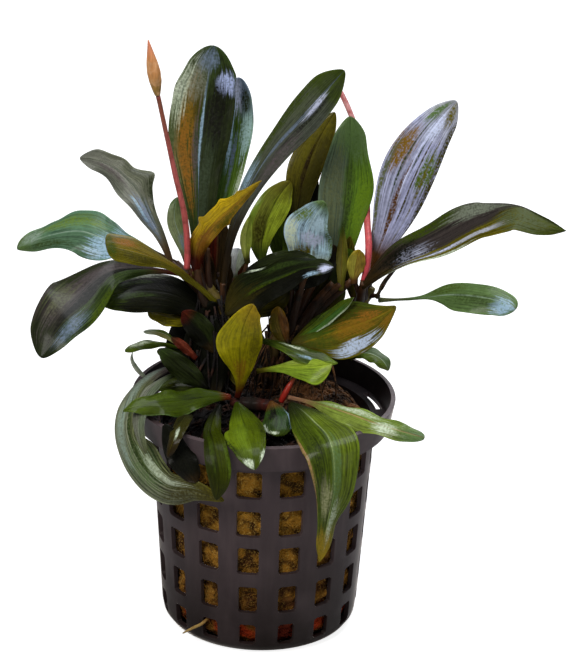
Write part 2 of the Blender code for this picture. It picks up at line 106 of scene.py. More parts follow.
def moulded_pot():
    """The pot's outer skin as a grid of turns and heights with the cells of its holes left out.

    At turn a and height z the skin is at (r sin a, -r cos a, z), with r straight between the radii
    of BODY_RADII. The grid has lines at half a degrees to each side of a hole's middle. On the wall
    they are drawn in or out, to asin(w / 2 r) for a hole w wide, and less at its rounded corners.
    """
    ledge = BODY_HEIGHTS[-1]
    tops = [middle + tall / 2 for middle, _, tall in HOLE_ROWS]
    feet = [middle - tall / 2 for middle, _, tall in HOLE_ROWS]
    corners = [top - HOLE_CORNER for top in tops] + [foot + HOLE_CORNER for foot in feet]
    heights = lines_with([*BODY_HEIGHTS, *tops, *feet, *corners], 1.5)
    half = 6.2
    first = POT_TURN - PITCH / 2
    edges = []
    for start, pitch, count, reach in ((POT_TURN, PITCH, HOLES, half),
                                       (LEDGE_SLOT[3], SLOT_PITCH, SLOTS, LEDGE_SLOT[2]),
                                       (BASE_SLOT[3], SLOT_PITCH, SLOTS, BASE_SLOT[2])):
        middles = start + pitch * np.arange(count)
        edges += [middles - reach, middles + reach]
    turns = lines_with([first, first + 360, *((np.concatenate(edges) - first) % 360 + first)], 2.6)[:-1]

    base_radii = lines_with([1, *BASE_SLOT[:2], BASE_RADIUS], 3)
    body_radii = np.interp(heights, BODY_HEIGHTS, BODY_RADII)
    ledge_radii = lines_with([BODY_RADII[-1], *LEDGE_SLOT[:2], COLLAR_RADIUS], 1)[1:]
    rise_up = np.linspace(0, 1, 6)[1:]
    radius = np.concatenate([base_radii, body_radii, ledge_radii, COLLAR_RADIUS + COLLAR_FLARE * rise_up])
    height = np.concatenate([0 * base_radii, heights, ledge + 0 * ledge_radii,
                             ledge + COLLAR_HEIGHT * rise_up])

    row_heights = []
    row_widths = []
    for middle, across, tall in reversed(HOLE_ROWS):
        foot, top = middle - tall / 2, middle + tall / 2
        inner = across - 2 * HOLE_CORNER
        row_heights += [foot - 0.01, foot, foot + HOLE_CORNER, top - HOLE_CORNER, top, top + 0.01]
        row_widths += [across, inner, across, across, inner, across]
    wide = np.interp(height, row_heights, row_widths)
    # The flat base has no holes, so a radius under that of the wall is taken as the wall's.
    drawn = np.degrees(np.arcsin(wide / 2 / np.maximum(radius, 19)))[:, None]
    off = nearest_turn(turns, POT_TURN, PITCH)[None, :]
    outside = drawn + (np.abs(off) - half) * (PITCH / 2 - drawn) / (PITCH / 2 - half)
    bent = np.where(np.abs(off) <= half, off * drawn / half, np.sign(off) * outside)
    wall = ((height > 0.5) & (height < ledge - 0.1))[:, None]
    angle = np.radians(turns[None, :] + np.where(wall, bent - off, 0))

    rings = np.stack([radius[:, None] * np.sin(angle), -radius[:, None] * np.cos(angle),
                      height[:, None] + 0 * angle], axis=-1)
    count, steps = angle.shape
    i, j = np.meshgrid(np.arange(count - 1), np.arange(steps), indexing="ij")
    k = (j + 1) % steps
    middle_turn = turns[j] + ((turns[k] - turns[j]) % 360) / 2
    middle_height = (height[i] + height[i + 1]) / 2
    middle_radius = (radius[i] + radius[i + 1]) / 2
    in_row = np.any([(middle_height > f) & (middle_height < t) for f, t in zip(feet, tops)], axis=0)
    cut = in_row & (np.abs(nearest_turn(middle_turn, POT_TURN, PITCH)) < half)
    for (inner, outer, reach, start), level in ((LEDGE_SLOT, ledge), (BASE_SLOT, 0)):
        flat = np.abs(middle_height - level) < 0.01
        ring = (middle_radius > inner) & (middle_radius < outer)
        cut |= flat & ring & (np.abs(nearest_turn(middle_turn, start, SLOT_PITCH)) < reach)
    quads = np.stack([i * steps + j, i * steps + k, (i + 1) * steps + k, (i + 1) * steps + j], -1)[~cut]
    middle = count * steps
    turn = np.arange(steps)
    fan = np.stack([np.full(steps, middle), (turn + 1) % steps, turn], axis=-1)
    mesh = bpy.data.meshes.new("pot_moulding")
    fill_mesh(mesh, np.concatenate([rings.reshape(-1, 3), [[0, 0, 0]]]), [quads, fan])
    return mesh


def tone(red, green, blue):
    """A colour that is written as the eye sees it, 0 to 255, as the light that it stands for."""
    seen = np.array([red, green, blue]) / 255
    light = np.where(seen < 0.04045, seen / 12.92, ((seen + 0.055) / 1.055) ** 2.4)
    return (*light.tolist(), 1)


def add(tree, kind, *inputs, **settings):
    """Adds a node, sets it, and joins or fills its inputs in order; None leaves one as it is."""
    made = tree.nodes.new(kind)
    for key, value in settings.items():
        setattr(made, key, value)
    for socket, value in zip(made.inputs, inputs):
        if isinstance(value, bpy.types.NodeSocket):
            tree.links.new(value, socket)
        elif value is not None:
            socket.default_value = value
    return made


def maths(tree, operation, a, b=None, c=None):
    return add(tree, "ShaderNodeMath", a, b, c, operation=operation).outputs[0]


def rise(tree, value, low, high):
    """0 below low, 1 above high, smooth between."""
    return add(tree, "ShaderNodeMapRange", value, low, high, interpolation_type="SMOOTHSTEP").outputs[0]


def blend_colour(tree, share, first, second, blend_type="MIX"):
    made = add(tree, "ShaderNodeMix", data_type="RGBA", blend_type=blend_type)
    for index, value in ((0, share), (6, first), (7, second)):
        if isinstance(value, bpy.types.NodeSocket):
            tree.links.new(value, made.inputs[index])
        else:
            made.inputs[index].default_value = value
    return made.outputs[2]


def cloud(tree, where, size, detail=3.0):
    """Soft noise from 0 to 1 whose patches are about size millimetres across."""
    made = add(tree, "ShaderNodeTexNoise", where)
    made.inputs["Scale"].default_value = 1 / (size * MM)
    made.inputs["Detail"].default_value = detail
    return made.outputs["Fac"]


def new_finish(name, roughness=0.5, **plain):
    """A material with a Principled shader, whose constants go on its own sockets."""
    material = bpy.data.materials.new(name)
    material.use_nodes = True
    shader = material.node_tree.nodes["Principled BSDF"]
    shader.inputs["Roughness"].default_value = roughness
    for key, value in plain.items():
        shader.inputs[key.replace("_", " ")].default_value = value
    return material, material.node_tree, shader


def new_group(name, takes, gives):
    """An empty shader node group. takes and gives are (name, socket kind, value) rows."""
    group = bpy.data.node_groups.new(name, "ShaderNodeTree")
    for label, kind, value in takes:
        socket = group.interface.new_socket(name=label, in_out="INPUT", socket_type=kind)
        if value is not None:
            socket.default_value = value
    for label, kind in gives:
        group.interface.new_socket(name=label, in_out="OUTPUT", socket_type=kind)
    return group, group.nodes.new("NodeGroupInput").outputs, group.nodes.new("NodeGroupOutput").inputs


def use_group(tree, group, **values):
    """Places a group and fills its inputs by name, with _ for a space."""
    made = tree.nodes.new("ShaderNodeGroup")
    made.node_tree = group
    for key, value in values.items():
        socket = made.inputs[key.replace("_", " ")]
        if isinstance(value, bpy.types.NodeSocket):
            tree.links.new(value, socket)
        else:
            socket.default_value = value
    return made.outputs


def bump(tree, height, distance, strength):
    """The normal of a height from 0 to 1, with its depth in millimetres."""
    made = add(tree, "ShaderNodeBump")
    made.inputs["Strength"].default_value = strength
    made.inputs["Distance"].default_value = distance * MM
    tree.links.new(height, made.inputs["Height"])
    return made.outputs[0]


COLOUR, NUMBER, VECTOR = "NodeSocketColor", "NodeSocketFloat", "NodeSocketVector"
# The pot's face: lengthwise wear streaks, and painted shade that darkens it in patches towards the bottom,
# fading out between the heights Low and High.
wear_and_low_shade, takes, gives = new_group(
    "wear_and_low_shade",
    (("Clean", COLOUR, tone(74, 68, 84)), ("Worn", COLOUR, tone(86, 78, 92)),
     ("Stain", COLOUR, tone(60, 48, 40)), ("Low", NUMBER, 0.0), ("High", NUMBER, 0.02)),
    (("Colour", COLOUR), ("Roughness", NUMBER), ("Height", NUMBER)))
here = add(wear_and_low_shade, "ShaderNodeTexCoord").outputs["Object"]
height_here = add(wear_and_low_shade, "ShaderNodeSeparateXYZ", here).outputs[2]
drawn_out = add(wear_and_low_shade, "ShaderNodeVectorMath", here, (1.0, 1.0, 0.16), operation="MULTIPLY").outputs[0]
streaks = cloud(wear_and_low_shade, drawn_out, 2.2, 4)
patches = cloud(wear_and_low_shade, here, 9)
fine = cloud(wear_and_low_shade, here, 0.5, 2)
raised = add(wear_and_low_shade, "ShaderNodeMapRange", height_here, takes["Low"], takes["High"]).outputs[0]
lowness = maths(wear_and_low_shade, "SUBTRACT", 1.0, raised)
patchy = maths(wear_and_low_shade, "MULTIPLY_ADD", rise(wear_and_low_shade, patches, 0.25, 0.65), 0.4, 0.6)
low_shade = maths(wear_and_low_shade, "MULTIPLY", lowness, patchy)
worn = blend_colour(wear_and_low_shade, rise(wear_and_low_shade, streaks, 0.35, 0.75), takes["Clean"], takes["Worn"])
wear_and_low_shade.links.new(blend_colour(wear_and_low_shade, low_shade, worn, takes["Stain"]), gives["Colour"])
wear_and_low_shade.links.new(maths(wear_and_low_shade, "MULTIPLY_ADD", patches, 0.3, 0.34), gives["Roughness"])
scored = maths(wear_and_low_shade, "MULTIPLY", streaks, 0.4)
wear_and_low_shade.links.new(maths(wear_and_low_shade, "MULTIPLY_ADD", fine, 0.6, scored), gives["Height"])

# Outside, the painted shade takes the plastic almost to black at the foot and fades out 40 mm up.
pot_plastic, nodes, shader = new_finish("pot_plastic", Specular_IOR_Level=0.25, Sheen_Weight=1.0,
                                        Sheen_Roughness=0.22, Sheen_Tint=tone(255, 244, 236))
face = use_group(nodes, wear_and_low_shade, Clean=tone(74, 62, 65), Worn=tone(86, 73, 75), Stain=tone(16, 6, 2),
                 Low=0.0, High=0.04)
nodes.links.new(face["Colour"], shader.inputs["Base Color"])
nodes.links.new(face["Roughness"], shader.inputs["Roughness"])
nodes.links.new(bump(nodes, face["Height"], 0.05, 0.5), shader.inputs["Normal"])

# The wall's inner face is a darker copy of the same plastic: painted shade inside the pot.
pot_inside_shaded, nodes, shader = new_finish("pot_inside_shaded", Specular_IOR_Level=0.2)
face = use_group(nodes, wear_and_low_shade, Clean=tone(34, 28, 30), Worn=tone(44, 38, 40), Stain=tone(24, 16, 14),
                 Low=0.004, High=0.05)
nodes.links.new(face["Colour"], shader.inputs["Base Color"])
nodes.links.new(face["Roughness"], shader.inputs["Roughness"])
nodes.links.new(bump(nodes, face["Height"], 0.05, 0.5), shader.inputs["Normal"])

pot = place(moulded_pot(), pot_plastic, pot_inside_shaded)
wall = pot.modifiers.new("Wall", "SOLIDIFY")
wall.thickness = 1.0 * MM
wall.offset = -1
wall.use_even_offset = True
wall.material_offset = 1
rounding = pot.modifiers.new("Rounding", "BEVEL")
rounding.width = 0.14 * MM
rounding.segments = 2
rounding.limit_method = "ANGLE"
rounding.angle_limit = math.radians(40)
rounding.harden_normals = True
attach(pot, "root")
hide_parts("net_pot")


# The plug that fills the pot is a wad of mineral wool, golden brown where it is clean and rust red
# and black where it stays wet. Short fibres lie all over it, and show as a tangle in every hole.

WOOL_HEIGHTS = (1.6, 3.4, 6.0, 43.0)
WOOL_RADII = (17.4, 18.9, 19.6, 21.7)
FIBRES = 3200


def unit(vectors):
    return vectors / np.linalg.norm(vectors, axis=-1, keepdims=True)


def relief(points, size, seed):
    """Soft relief, about -1 to 1: a mean of sines of random direction, each about size mm long."""
    waves = 16
    rng = np.random.default_rng(seed)
    ways = unit(rng.normal(size=(waves, 3))) * (2 * np.pi / size) * rng.uniform(0.6, 1.7, (waves, 1))
    return np.sin(points @ ways.T + rng.uniform(0, 2 * np.pi, waves)).sum(-1) / math.sqrt(waves / 2) / 1.5


def skin(name, rings, along=None, around=None):
    """Closed tubes as one mesh, with a UV map called surface.

    rings holds points in millimetres as (tube, ring, point, axis), and each ring's points run
    anticlockwise seen from the tube's far end. Four-sided faces join ring to ring, and a fan of
    triangles round the mean of the first and of the last ring closes the ends. along and around
    are the UV values of the rings and round them; by default both run evenly from 0 to 1.
    """
    tubes, count, points, _ = rings.shape
    along = np.linspace(0, 1, count) if along is None else along
    around = np.linspace(0, 1, points + 1) if around is None else around
    ends = rings[:, [0, -1]].mean(axis=2)
    tube, i, j = np.meshgrid(np.arange(tubes), np.arange(count - 1), np.arange(points), indexing="ij")
    k = (j + 1) % points
    start = tube * count * points + i * points
    quads = np.stack([start + j, start + k, start + points + k, start + points + j], -1).reshape(-1, 4)
    tube, j = np.meshgrid(np.arange(tubes), np.arange(points), indexing="ij")
    k = (j + 1) % points
    pole = tubes * count * points + 2 * tube
    first = tube * count * points
    last = first + (count - 1) * points
    low = np.stack([pole, first + k, first + j], -1).reshape(-1, 3)
    high = np.stack([pole + 1, last + j, last + k], -1).reshape(-1, 3)
    mesh = bpy.data.meshes.new(name)
    fill_mesh(mesh, np.concatenate([rings.reshape(-1, 3), ends.reshape(-1, 3)]), [quads, low, high])

    here_u = np.broadcast_to(along[:-1, None], (tubes, count - 1, points)).ravel()
    next_u = np.broadcast_to(along[1:, None], (tubes, count - 1, points)).ravel()
    here_v = np.broadcast_to(around[:-1], (tubes, count - 1, points)).ravel()
    next_v = np.broadcast_to(around[1:], (tubes, count - 1, points)).ravel()
    sides = np.stack([here_u, here_v, here_u, next_v, next_u, next_v, next_u, here_v], -1)
    here_v = np.broadcast_to(around[:-1], (tubes, points)).ravel()
    next_v = np.broadcast_to(around[1:], (tubes, points)).ravel()
    foot, tip = along[0] + 0 * here_v, along[-1] + 0 * here_v
    feet = np.stack([foot, (here_v + next_v) / 2, foot, next_v, foot, here_v], -1)
    tips = np.stack([tip, (here_v + next_v) / 2, tip, here_v, tip, next_v], -1)
    corners = np.concatenate([sides.ravel(), feet.ravel(), tips.ravel()])
    mesh.uv_layers.new(name="surface").data.foreach_set("uv", corners.astype(np.float32))
    return mesh


def turned(radii, heights, steps):
    """Rings of a solid turned about Z, from the bottom up: (r sin a, -r cos a, z)."""
    angle = np.linspace(0, 2 * np.pi, steps, endpoint=False)
    radii, heights = np.array(radii, float)[:, None], np.array(heights, float)[:, None]
    rings = np.stack([radii * np.sin(angle), -radii * np.cos(angle), heights + 0 * angle], axis=-1)
    return rings[None]


def tubes_along(lines, radius, sides):
    """Rings of round tubes. lines is (tube, ring, axis), and radius has one value per ring.

    Two directions across the line, A = line x (0.3, 0.2, 1) and B = line x A, span each ring:
    point + radius (A cos t + B sin t).
    """
    ahead = unit(np.gradient(lines, axis=1))
    across = unit(np.cross(ahead, np.array([0.31, 0.22, 1.0])))
    other = np.cross(ahead, across)
    angle = np.linspace(0, 2 * np.pi, sides, endpoint=False)[:, None]
    spread = across[:, :, None] * np.cos(angle) + other[:, :, None] * np.sin(angle)
    radius = np.broadcast_to(radius, lines.shape[:2])[..., None, None]
    return lines[:, :, None] + radius * spread


wool_side = np.linspace(WOOL_HEIGHTS[0], WOOL_HEIGHTS[-1], 90)
wool_z = np.concatenate([np.full(4, wool_side[0]), wool_side, np.full(5, wool_side[-1])])
wool_r = [np.linspace(3, 14, 4), np.interp(wool_side, WOOL_HEIGHTS, WOOL_RADII), np.linspace(19, 2, 5)]
wool = turned(np.concatenate(wool_r), wool_z, 180)
lumps = 0.35 * relief(wool, 4.5, 1) + 0.22 * relief(wool, 1.6, 2) - 0.25
out = wool * (1, 1, 0) / np.maximum(np.linalg.norm(wool[..., :2], axis=-1, keepdims=True), 1)
wool = wool + out * lumps[..., None] * ((wool[..., 2:] > 1.7) & (wool[..., 2:] < 42.9))

rng = np.random.default_rng(11)
height = rng.uniform(2.6, 42.5, FIBRES)
turn = rng.uniform(0, 2 * np.pi, FIBRES)
lean = rng.normal(0, 1.0, FIBRES)
bend = rng.normal(0, 0.9, FIBRES)
length = rng.uniform(1.6, 4.2, FIBRES)
share = np.linspace(-0.5, 0.5, 6)
slope = lean[:, None] + bend[:, None] * share
line_z = np.clip(height[:, None] + length[:, None] * share * np.sin(slope), 1.9, 42.8)
line_r = np.interp(line_z, WOOL_HEIGHTS, WOOL_RADII) + 0.16 - 0.9 * share**2
line_r = line_r + rng.uniform(-0.1, 0.18, (FIBRES, 1))
line_a = turn[:, None] + length[:, None] * share * np.cos(slope) / 20
fibres = np.stack([line_r * np.sin(line_a), -line_r * np.cos(line_a), line_z], axis=-1)
fibre_rings = tubes_along(fibres, np.array([0.03, 0.075, 0.085, 0.085, 0.075, 0.03]), 3)

wool_fibre, nodes, shader = new_finish("wool_fibre", 0.9, Specular_IOR_Level=0.2)
here = add(nodes, "ShaderNodeTexCoord").outputs["Object"]
parts = add(nodes, "ShaderNodeSeparateXYZ", here).outputs
clumps = cloud(nodes, here, 2.6, 4)
hairs = cloud(nodes, here, 0.35, 3)
wet = cloud(nodes, here, 7, 2)
gold = blend_colour(nodes, rise(nodes, clumps, 0.36, 0.62), tone(66, 40, 10), tone(190, 136, 44))
gold = blend_colour(nodes, rise(nodes, hairs, 0.5, 0.72), gold, tone(214, 172, 84))
low = maths(nodes, "SUBTRACT", 1.0, rise(nodes, parts[2], 0.005, 0.011))
rusty = maths(nodes, "MULTIPLY", low, rise(nodes, wet, 0.4, 0.55))
gold = blend_colour(nodes, rusty, gold, tone(250, 84, 30))
low = maths(nodes, "SUBTRACT", 1.0, rise(nodes, parts[2], 0.010, 0.024))
rot = maths(nodes, "MULTIPLY", low, rise(nodes, wet, 0.52, 0.6))
gold = blend_colour(nodes, maths(nodes, "MULTIPLY", rot, 0.75), gold, tone(48, 20, 14))
low = maths(nodes, "SUBTRACT", 1.0, rise(nodes, parts[2], 0.008, 0.036))
deep = maths(nodes, "MULTIPLY", low, 0.55)
nodes.links.new(blend_colour(nodes, deep, gold, tone(62, 18, 6)), shader.inputs["Base Color"])
nodes.links.new(bump(nodes, maths(nodes, "ADD", hairs, clumps), 0.5, 0.8), shader.inputs["Normal"])

for mesh in (skin("wool_plug", wool), skin("wool_fibres", fibre_rings)):
    piece = place(mesh, wool_fibre)
    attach(piece, "root")
    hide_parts("rooting_wool")


# Over the plug lies a mat of old roots, dead leaf bases and moss, with painted light on it: almost
# black at the front, where shade falls, and brown at the right, where light falls. Round it creep
# hundreds of wiry roots that grow down from the rhizomes.

ROOT_RADIUS = 21.6
ROOT_FLOOR = 43.3
ROOTS = 620
# No loose root reaches further out than this, so none goes through the pot's wall.
ROOT_EDGE = 20.8


def mat_height(x, y):
    """The mat's top: a dome, floor + sqrt(1 - (r / R)^2) (6 + 0.08 x + 0.16 y)."""
    dome = np.sqrt(np.clip(1 - (x * x + y * y) / ROOT_RADIUS**2, 0, 1))
    return ROOT_FLOOR + dome * (6.0 + 0.08 * x + 0.16 * y)


quarter = np.linspace(0.04, np.pi / 2, 44)
radii = np.concatenate([np.linspace(1, 20, 6), ROOT_RADIUS * np.sin(quarter[::-1])])
angle = np.linspace(0, 2 * np.pi, 150, endpoint=False)
x, y = radii[:, None] * np.sin(angle), -radii[:, None] * np.cos(angle)
upper = (np.arange(len(radii)) >= 6)[:, None]
mat = np.stack([x, y, np.where(upper, mat_height(x, y), ROOT_FLOOR)], axis=-1)[None]
rough = 0.5 * relief(mat, 5, 3) + 0.35 * relief(mat, 1.8, 4) - 0.6
mat[..., 2] += np.where(upper, rough, 0) * np.clip((mat[..., 2] - ROOT_FLOOR) / 1.5, 0, 1)

rng = np.random.default_rng(21)
turn = rng.uniform(0, 2 * np.pi, ROOTS)
reach = ROOT_RADIUS * 0.93 * np.sqrt(rng.uniform(0.02, 1, ROOTS))
heading = rng.uniform(0, 2 * np.pi, ROOTS)
curl = rng.normal(0, 1.2, ROOTS)
length = rng.uniform(4, 13, ROOTS)
share = np.linspace(-0.5, 0.5, 9)
way = heading[:, None] + curl[:, None] * share
x = (reach * np.sin(turn))[:, None] + length[:, None] * share * np.cos(way)
y = -(reach * np.cos(turn))[:, None] + length[:, None] * share * np.sin(way)
pull = np.minimum(1, ROOT_EDGE / np.hypot(x, y))
x, y = x * pull, y * pull
lift = rng.uniform(-0.3, 0.35, (ROOTS, 1)) - 1.6 * share**2 + 0.5 * np.cos(9 * share + heading[:, None])
roots = np.stack([x, y, mat_height(x, y) + lift], axis=-1)
thick = rng.uniform(0.1, 0.34, (ROOTS, 1)) * np.array([0.5, 0.85, 1, 1, 1, 1, 1, 0.8, 0.4])
root_rings = tubes_along(roots, thick, 5)

root_bark, nodes, shader = new_finish("root_bark", 0.75, Specular_IOR_Level=0.3)
here = add(nodes, "ShaderNodeTexCoord").outputs["Object"]
parts = add(nodes, "ShaderNodeSeparateXYZ", here).outputs
strands = cloud(nodes, here, 3.2, 4)
grain = cloud(nodes, here, 0.4, 3)
# Painted light: lit brown on the right and back, painted shade on the front and left.
east = rise(nodes, maths(nodes, "MULTIPLY_ADD", parts[1], 0.9, parts[0]), -0.004, 0.012)
brown = blend_colour(nodes, rise(nodes, strands, 0.42, 0.6), tone(40, 24, 12), tone(132, 88, 50))
pale = maths(nodes, "MULTIPLY", rise(nodes, grain, 0.5, 0.7), 0.6)
brown = blend_colour(nodes, pale, brown, tone(140, 104, 70))
shade = blend_colour(nodes, rise(nodes, strands, 0.5, 0.66), tone(14, 9, 9), tone(60, 34, 22))
nodes.links.new(blend_colour(nodes, east, shade, brown), shader.inputs["Base Color"])
nodes.links.new(bump(nodes, maths(nodes, "ADD", grain, strands), 0.4, 0.8), shader.inputs["Normal"])

for mesh in (skin("root_bed", mat), skin("root_strands", root_rings)):
    piece = place(mesh, root_bark)
    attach(piece, "root")
    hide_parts("root_mat")


# Four creeping rhizomes climb out of the mat. Each is a jointed stem, olive where it is young and
# brown where it is old, ringed by the scars of fallen leaves.


def smooth_line(points, share):
    """Points at shares of the length of a smooth curve through the given points.

    Between two knots the curve is a cubic whose slopes at the knots are those of a parabola
    through their neighbours.
    """
    points = np.array(points, float)
    length = np.cumsum(np.linalg.norm(np.diff(points, axis=0), axis=1))
    return smooth_values(points, np.concatenate([[0], length / length[-1]]), share)


def smooth_values(values, knots, share):
    """Values at shares on the smooth curve whose values at the knots are given."""
    slope = np.gradient(values, knots, axis=0, edge_order=2 if len(values) > 2 else 1)
    k = np.clip(np.searchsorted(knots, share, side="right") - 1, 0, len(values) - 2)
    step = (knots[k + 1] - knots[k])[:, None]
    u = (share - knots[k])[:, None] / step
    ends = (2 * u**3 - 3 * u**2 + 1) * values[k] + (3 * u**2 - 2 * u**3) * values[k + 1]
    bends = (u**3 - 2 * u**2 + u) * slope[k] + (u**3 - u**2) * slope[k + 1]
    return ends + step * bends


def stem_rings(points, radius, shares, count, sides=16, joints=0, swell=0.0):
    """A round stem: radius times the shares along it, times 1 + swell |sin(pi joints t)|^0.35."""
    t = np.linspace(0, 1, count)
    line = smooth_line(points, t)[None]
    knots = np.linspace(0, 1, len(shares))
    size = radius * smooth_values(np.array(shares, float)[:, None], knots, t)[:, 0]
    size = size * (1 - swell + swell * np.abs(np.sin(np.pi * joints * t)) ** 0.35)
    rings = tubes_along(line, size, sides)
    return rings + 0.03 * relief(rings, 2.4, 5)[..., None] * (rings - line[:, :, None])


stalk_face, takes, gives = new_group(
    "stalk_face",
    (("At Foot", COLOUR, tone(70, 46, 26)), ("At Middle", COLOUR, tone(88, 74, 32)),
     ("At Tip", COLOUR, tone(96, 84, 34)), ("Spots", COLOUR, tone(48, 26, 16))),
    (("Colour", COLOUR), ("Height", NUMBER)))
surface = add(stalk_face, "ShaderNodeUVMap", uv_map="surface").outputs[0]
along = add(stalk_face, "ShaderNodeSeparateXYZ", surface).outputs[0]
here = add(stalk_face, "ShaderNodeTexCoord").outputs["Object"]
drawn = add(stalk_face, "ShaderNodeVectorMath", here, (1.0, 1.0, 0.12), operation="MULTIPLY").outputs[0]
lines = cloud(stalk_face, drawn, 0.5, 2)
blot = rise(stalk_face, cloud(stalk_face, here, 1.8, 3), 0.48, 0.68)
colour = blend_colour(stalk_face, rise(stalk_face, along, 0.05, 0.5), takes["At Foot"], takes["At Middle"])
colour = blend_colour(stalk_face, rise(stalk_face, along, 0.55, 0.97), colour, takes["At Tip"])
colour = blend_colour(stalk_face, maths(stalk_face, "MULTIPLY", blot, 0.75), colour, takes["Spots"])
light = maths(stalk_face, "MULTIPLY_ADD", lines, 0.9, 0.55)
light = add(stalk_face, "ShaderNodeCombineColor", light, light, light).outputs[0]
stalk_face.links.new(blend_colour(stalk_face, 1.0, colour, light, "MULTIPLY"), gives["Colour"])
stalk_face.links.new(lines, gives["Height"])


def stalk_finish(name, foot, middle, tip, spots, roughness=0.38):
    """A stem's skin: three colours along it, with lengthwise streaks and darker spots."""
    material, nodes, shader = new_finish(name, roughness, Specular_IOR_Level=0.25,
                                         Coat_Weight=0.05, Coat_Roughness=0.25)
    face = use_group(nodes, stalk_face, At_Foot=foot, At_Middle=middle, At_Tip=tip, Spots=spots)
    nodes.links.new(face["Colour"], shader.inputs["Base Color"])
    nodes.links.new(bump(nodes, face["Height"], 0.12, 0.6), shader.inputs["Normal"])
    return material


old_rhizome = stalk_finish("old_rhizome", tone(70, 46, 26), tone(88, 74, 32), tone(96, 84, 34),
                           tone(48, 26, 16), 0.5)
young_rhizome = stalk_finish("young_rhizome", tone(60, 20, 10), tone(20, 12, 5), tone(80, 24, 14),
                             tone(12, 7, 4), 0.9)
for name, finish, points, radius, shares, joints in (
    ("rhizome_left", old_rhizome,
     ((-5.5, 6, 50.8), (-7.5, 7, 57.5), (-9, 7, 64.5), (-10, 7, 68), (-13, 8, 72), (-15, 9, 74.5)),
     1.5, (1, 1, 1, 1, 0.9, 0.6), 9),
    ("rhizome_middle", old_rhizome,
     ((0.5, 4.5, 51.2), (1.5, 4.5, 57), (2.5, 5.5, 63), (3, 8.5, 69), (3, 10.5, 73)),
     1.35, (1, 1, 1, 0.9, 0.6), 8),
    ("rhizome_right", old_rhizome,
     ((9, 8, 51.2), (13.5, 9, 58.5), (18, 9, 64.5), (21, 8, 70), (22, 8, 72)),
     1.55, (1, 1, 1, 0.9, 0.6), 8),
    ("rhizome_front", young_rhizome, ((-7, -4, 50.5), (-2, -5, 50.5), (2, -6, 50.8)),
     1.45, (0.6, 1, 0.7), 4),
):
    rings = stem_rings(points, radius, shares, count=90, joints=joints, swell=0.16)
    piece = place(skin(name + "_stem", rings), finish)
    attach(piece, "root")
    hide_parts(name)


# A leaf is a leathery blade on a stalk. Its skin is a thin lens in section, with a groove over the
# midrib, faint side veins, a wavy margin, and painted highlights, bluish and pale, where light would
# slide over it. The five tall leaves at the back stand upright and turn their upper faces to the front.

# Half-widths are given at these shares of a leaf's length, between the stalk and the tip.
STATIONS = np.array([0, 0.2, 0.4, 0.6, 0.8, 0.93, 1])
STALK = 0.6
BLADE_THICK, STALK_THICKER = 0.46, 0.6
# Directions that an upper face looks, and tips as (share of the length that is round, bluntness).
FRONT, UP, SLANT = ((0, -0.92, 0.38),), ((0, -0.6, 0.8),), ((0, -0.7, 0.7),)
SIDE, SKY = ((-0.2, -0.75, 0.65),), ((0, 0.1, 1),)
ROUND, BLUNT, POINTED = (0.12, 0.7), (0.07, 0.9), (0.05, 0.2)

# LAVENDER, SILVER, ICE, PALE and STEEL serve mostly as painted highlight and sheen tones.
INK, PINE, BOTTLE = tone(13, 14, 6), tone(32, 40, 14), tone(46, 62, 22)
MOSS, LEAF, GRASS = tone(58, 74, 10), tone(76, 96, 18), tone(102, 126, 34)
LIME, YELLOW_GREEN, MUSTARD = tone(138, 160, 44), tone(118, 110, 8), tone(146, 122, 22)
OLIVE, BROWN_OLIVE, OCHRE = tone(92, 86, 12), tone(60, 56, 10), tone(124, 92, 20)
RUST, BRONZE, UMBER = tone(138, 92, 28), tone(88, 56, 22), tone(42, 30, 10)
SAGE, GREY_SAGE, PEWTER = tone(86, 112, 62), tone(92, 98, 64), tone(118, 122, 106)
SLATE, STEEL, CHARCOAL = tone(54, 66, 46), tone(106, 122, 144), tone(58, 52, 50)
MAUVE, SILVER, LAVENDER = tone(84, 76, 76), tone(182, 186, 198), tone(204, 212, 242)
ICE, MIST, PALE = tone(152, 182, 204), tone(140, 158, 144), tone(208, 222, 196)
WINE, BLOOD, BARK, PINK = tone(74, 22, 10), tone(150, 40, 22), tone(74, 54, 32), tone(164, 120, 92)


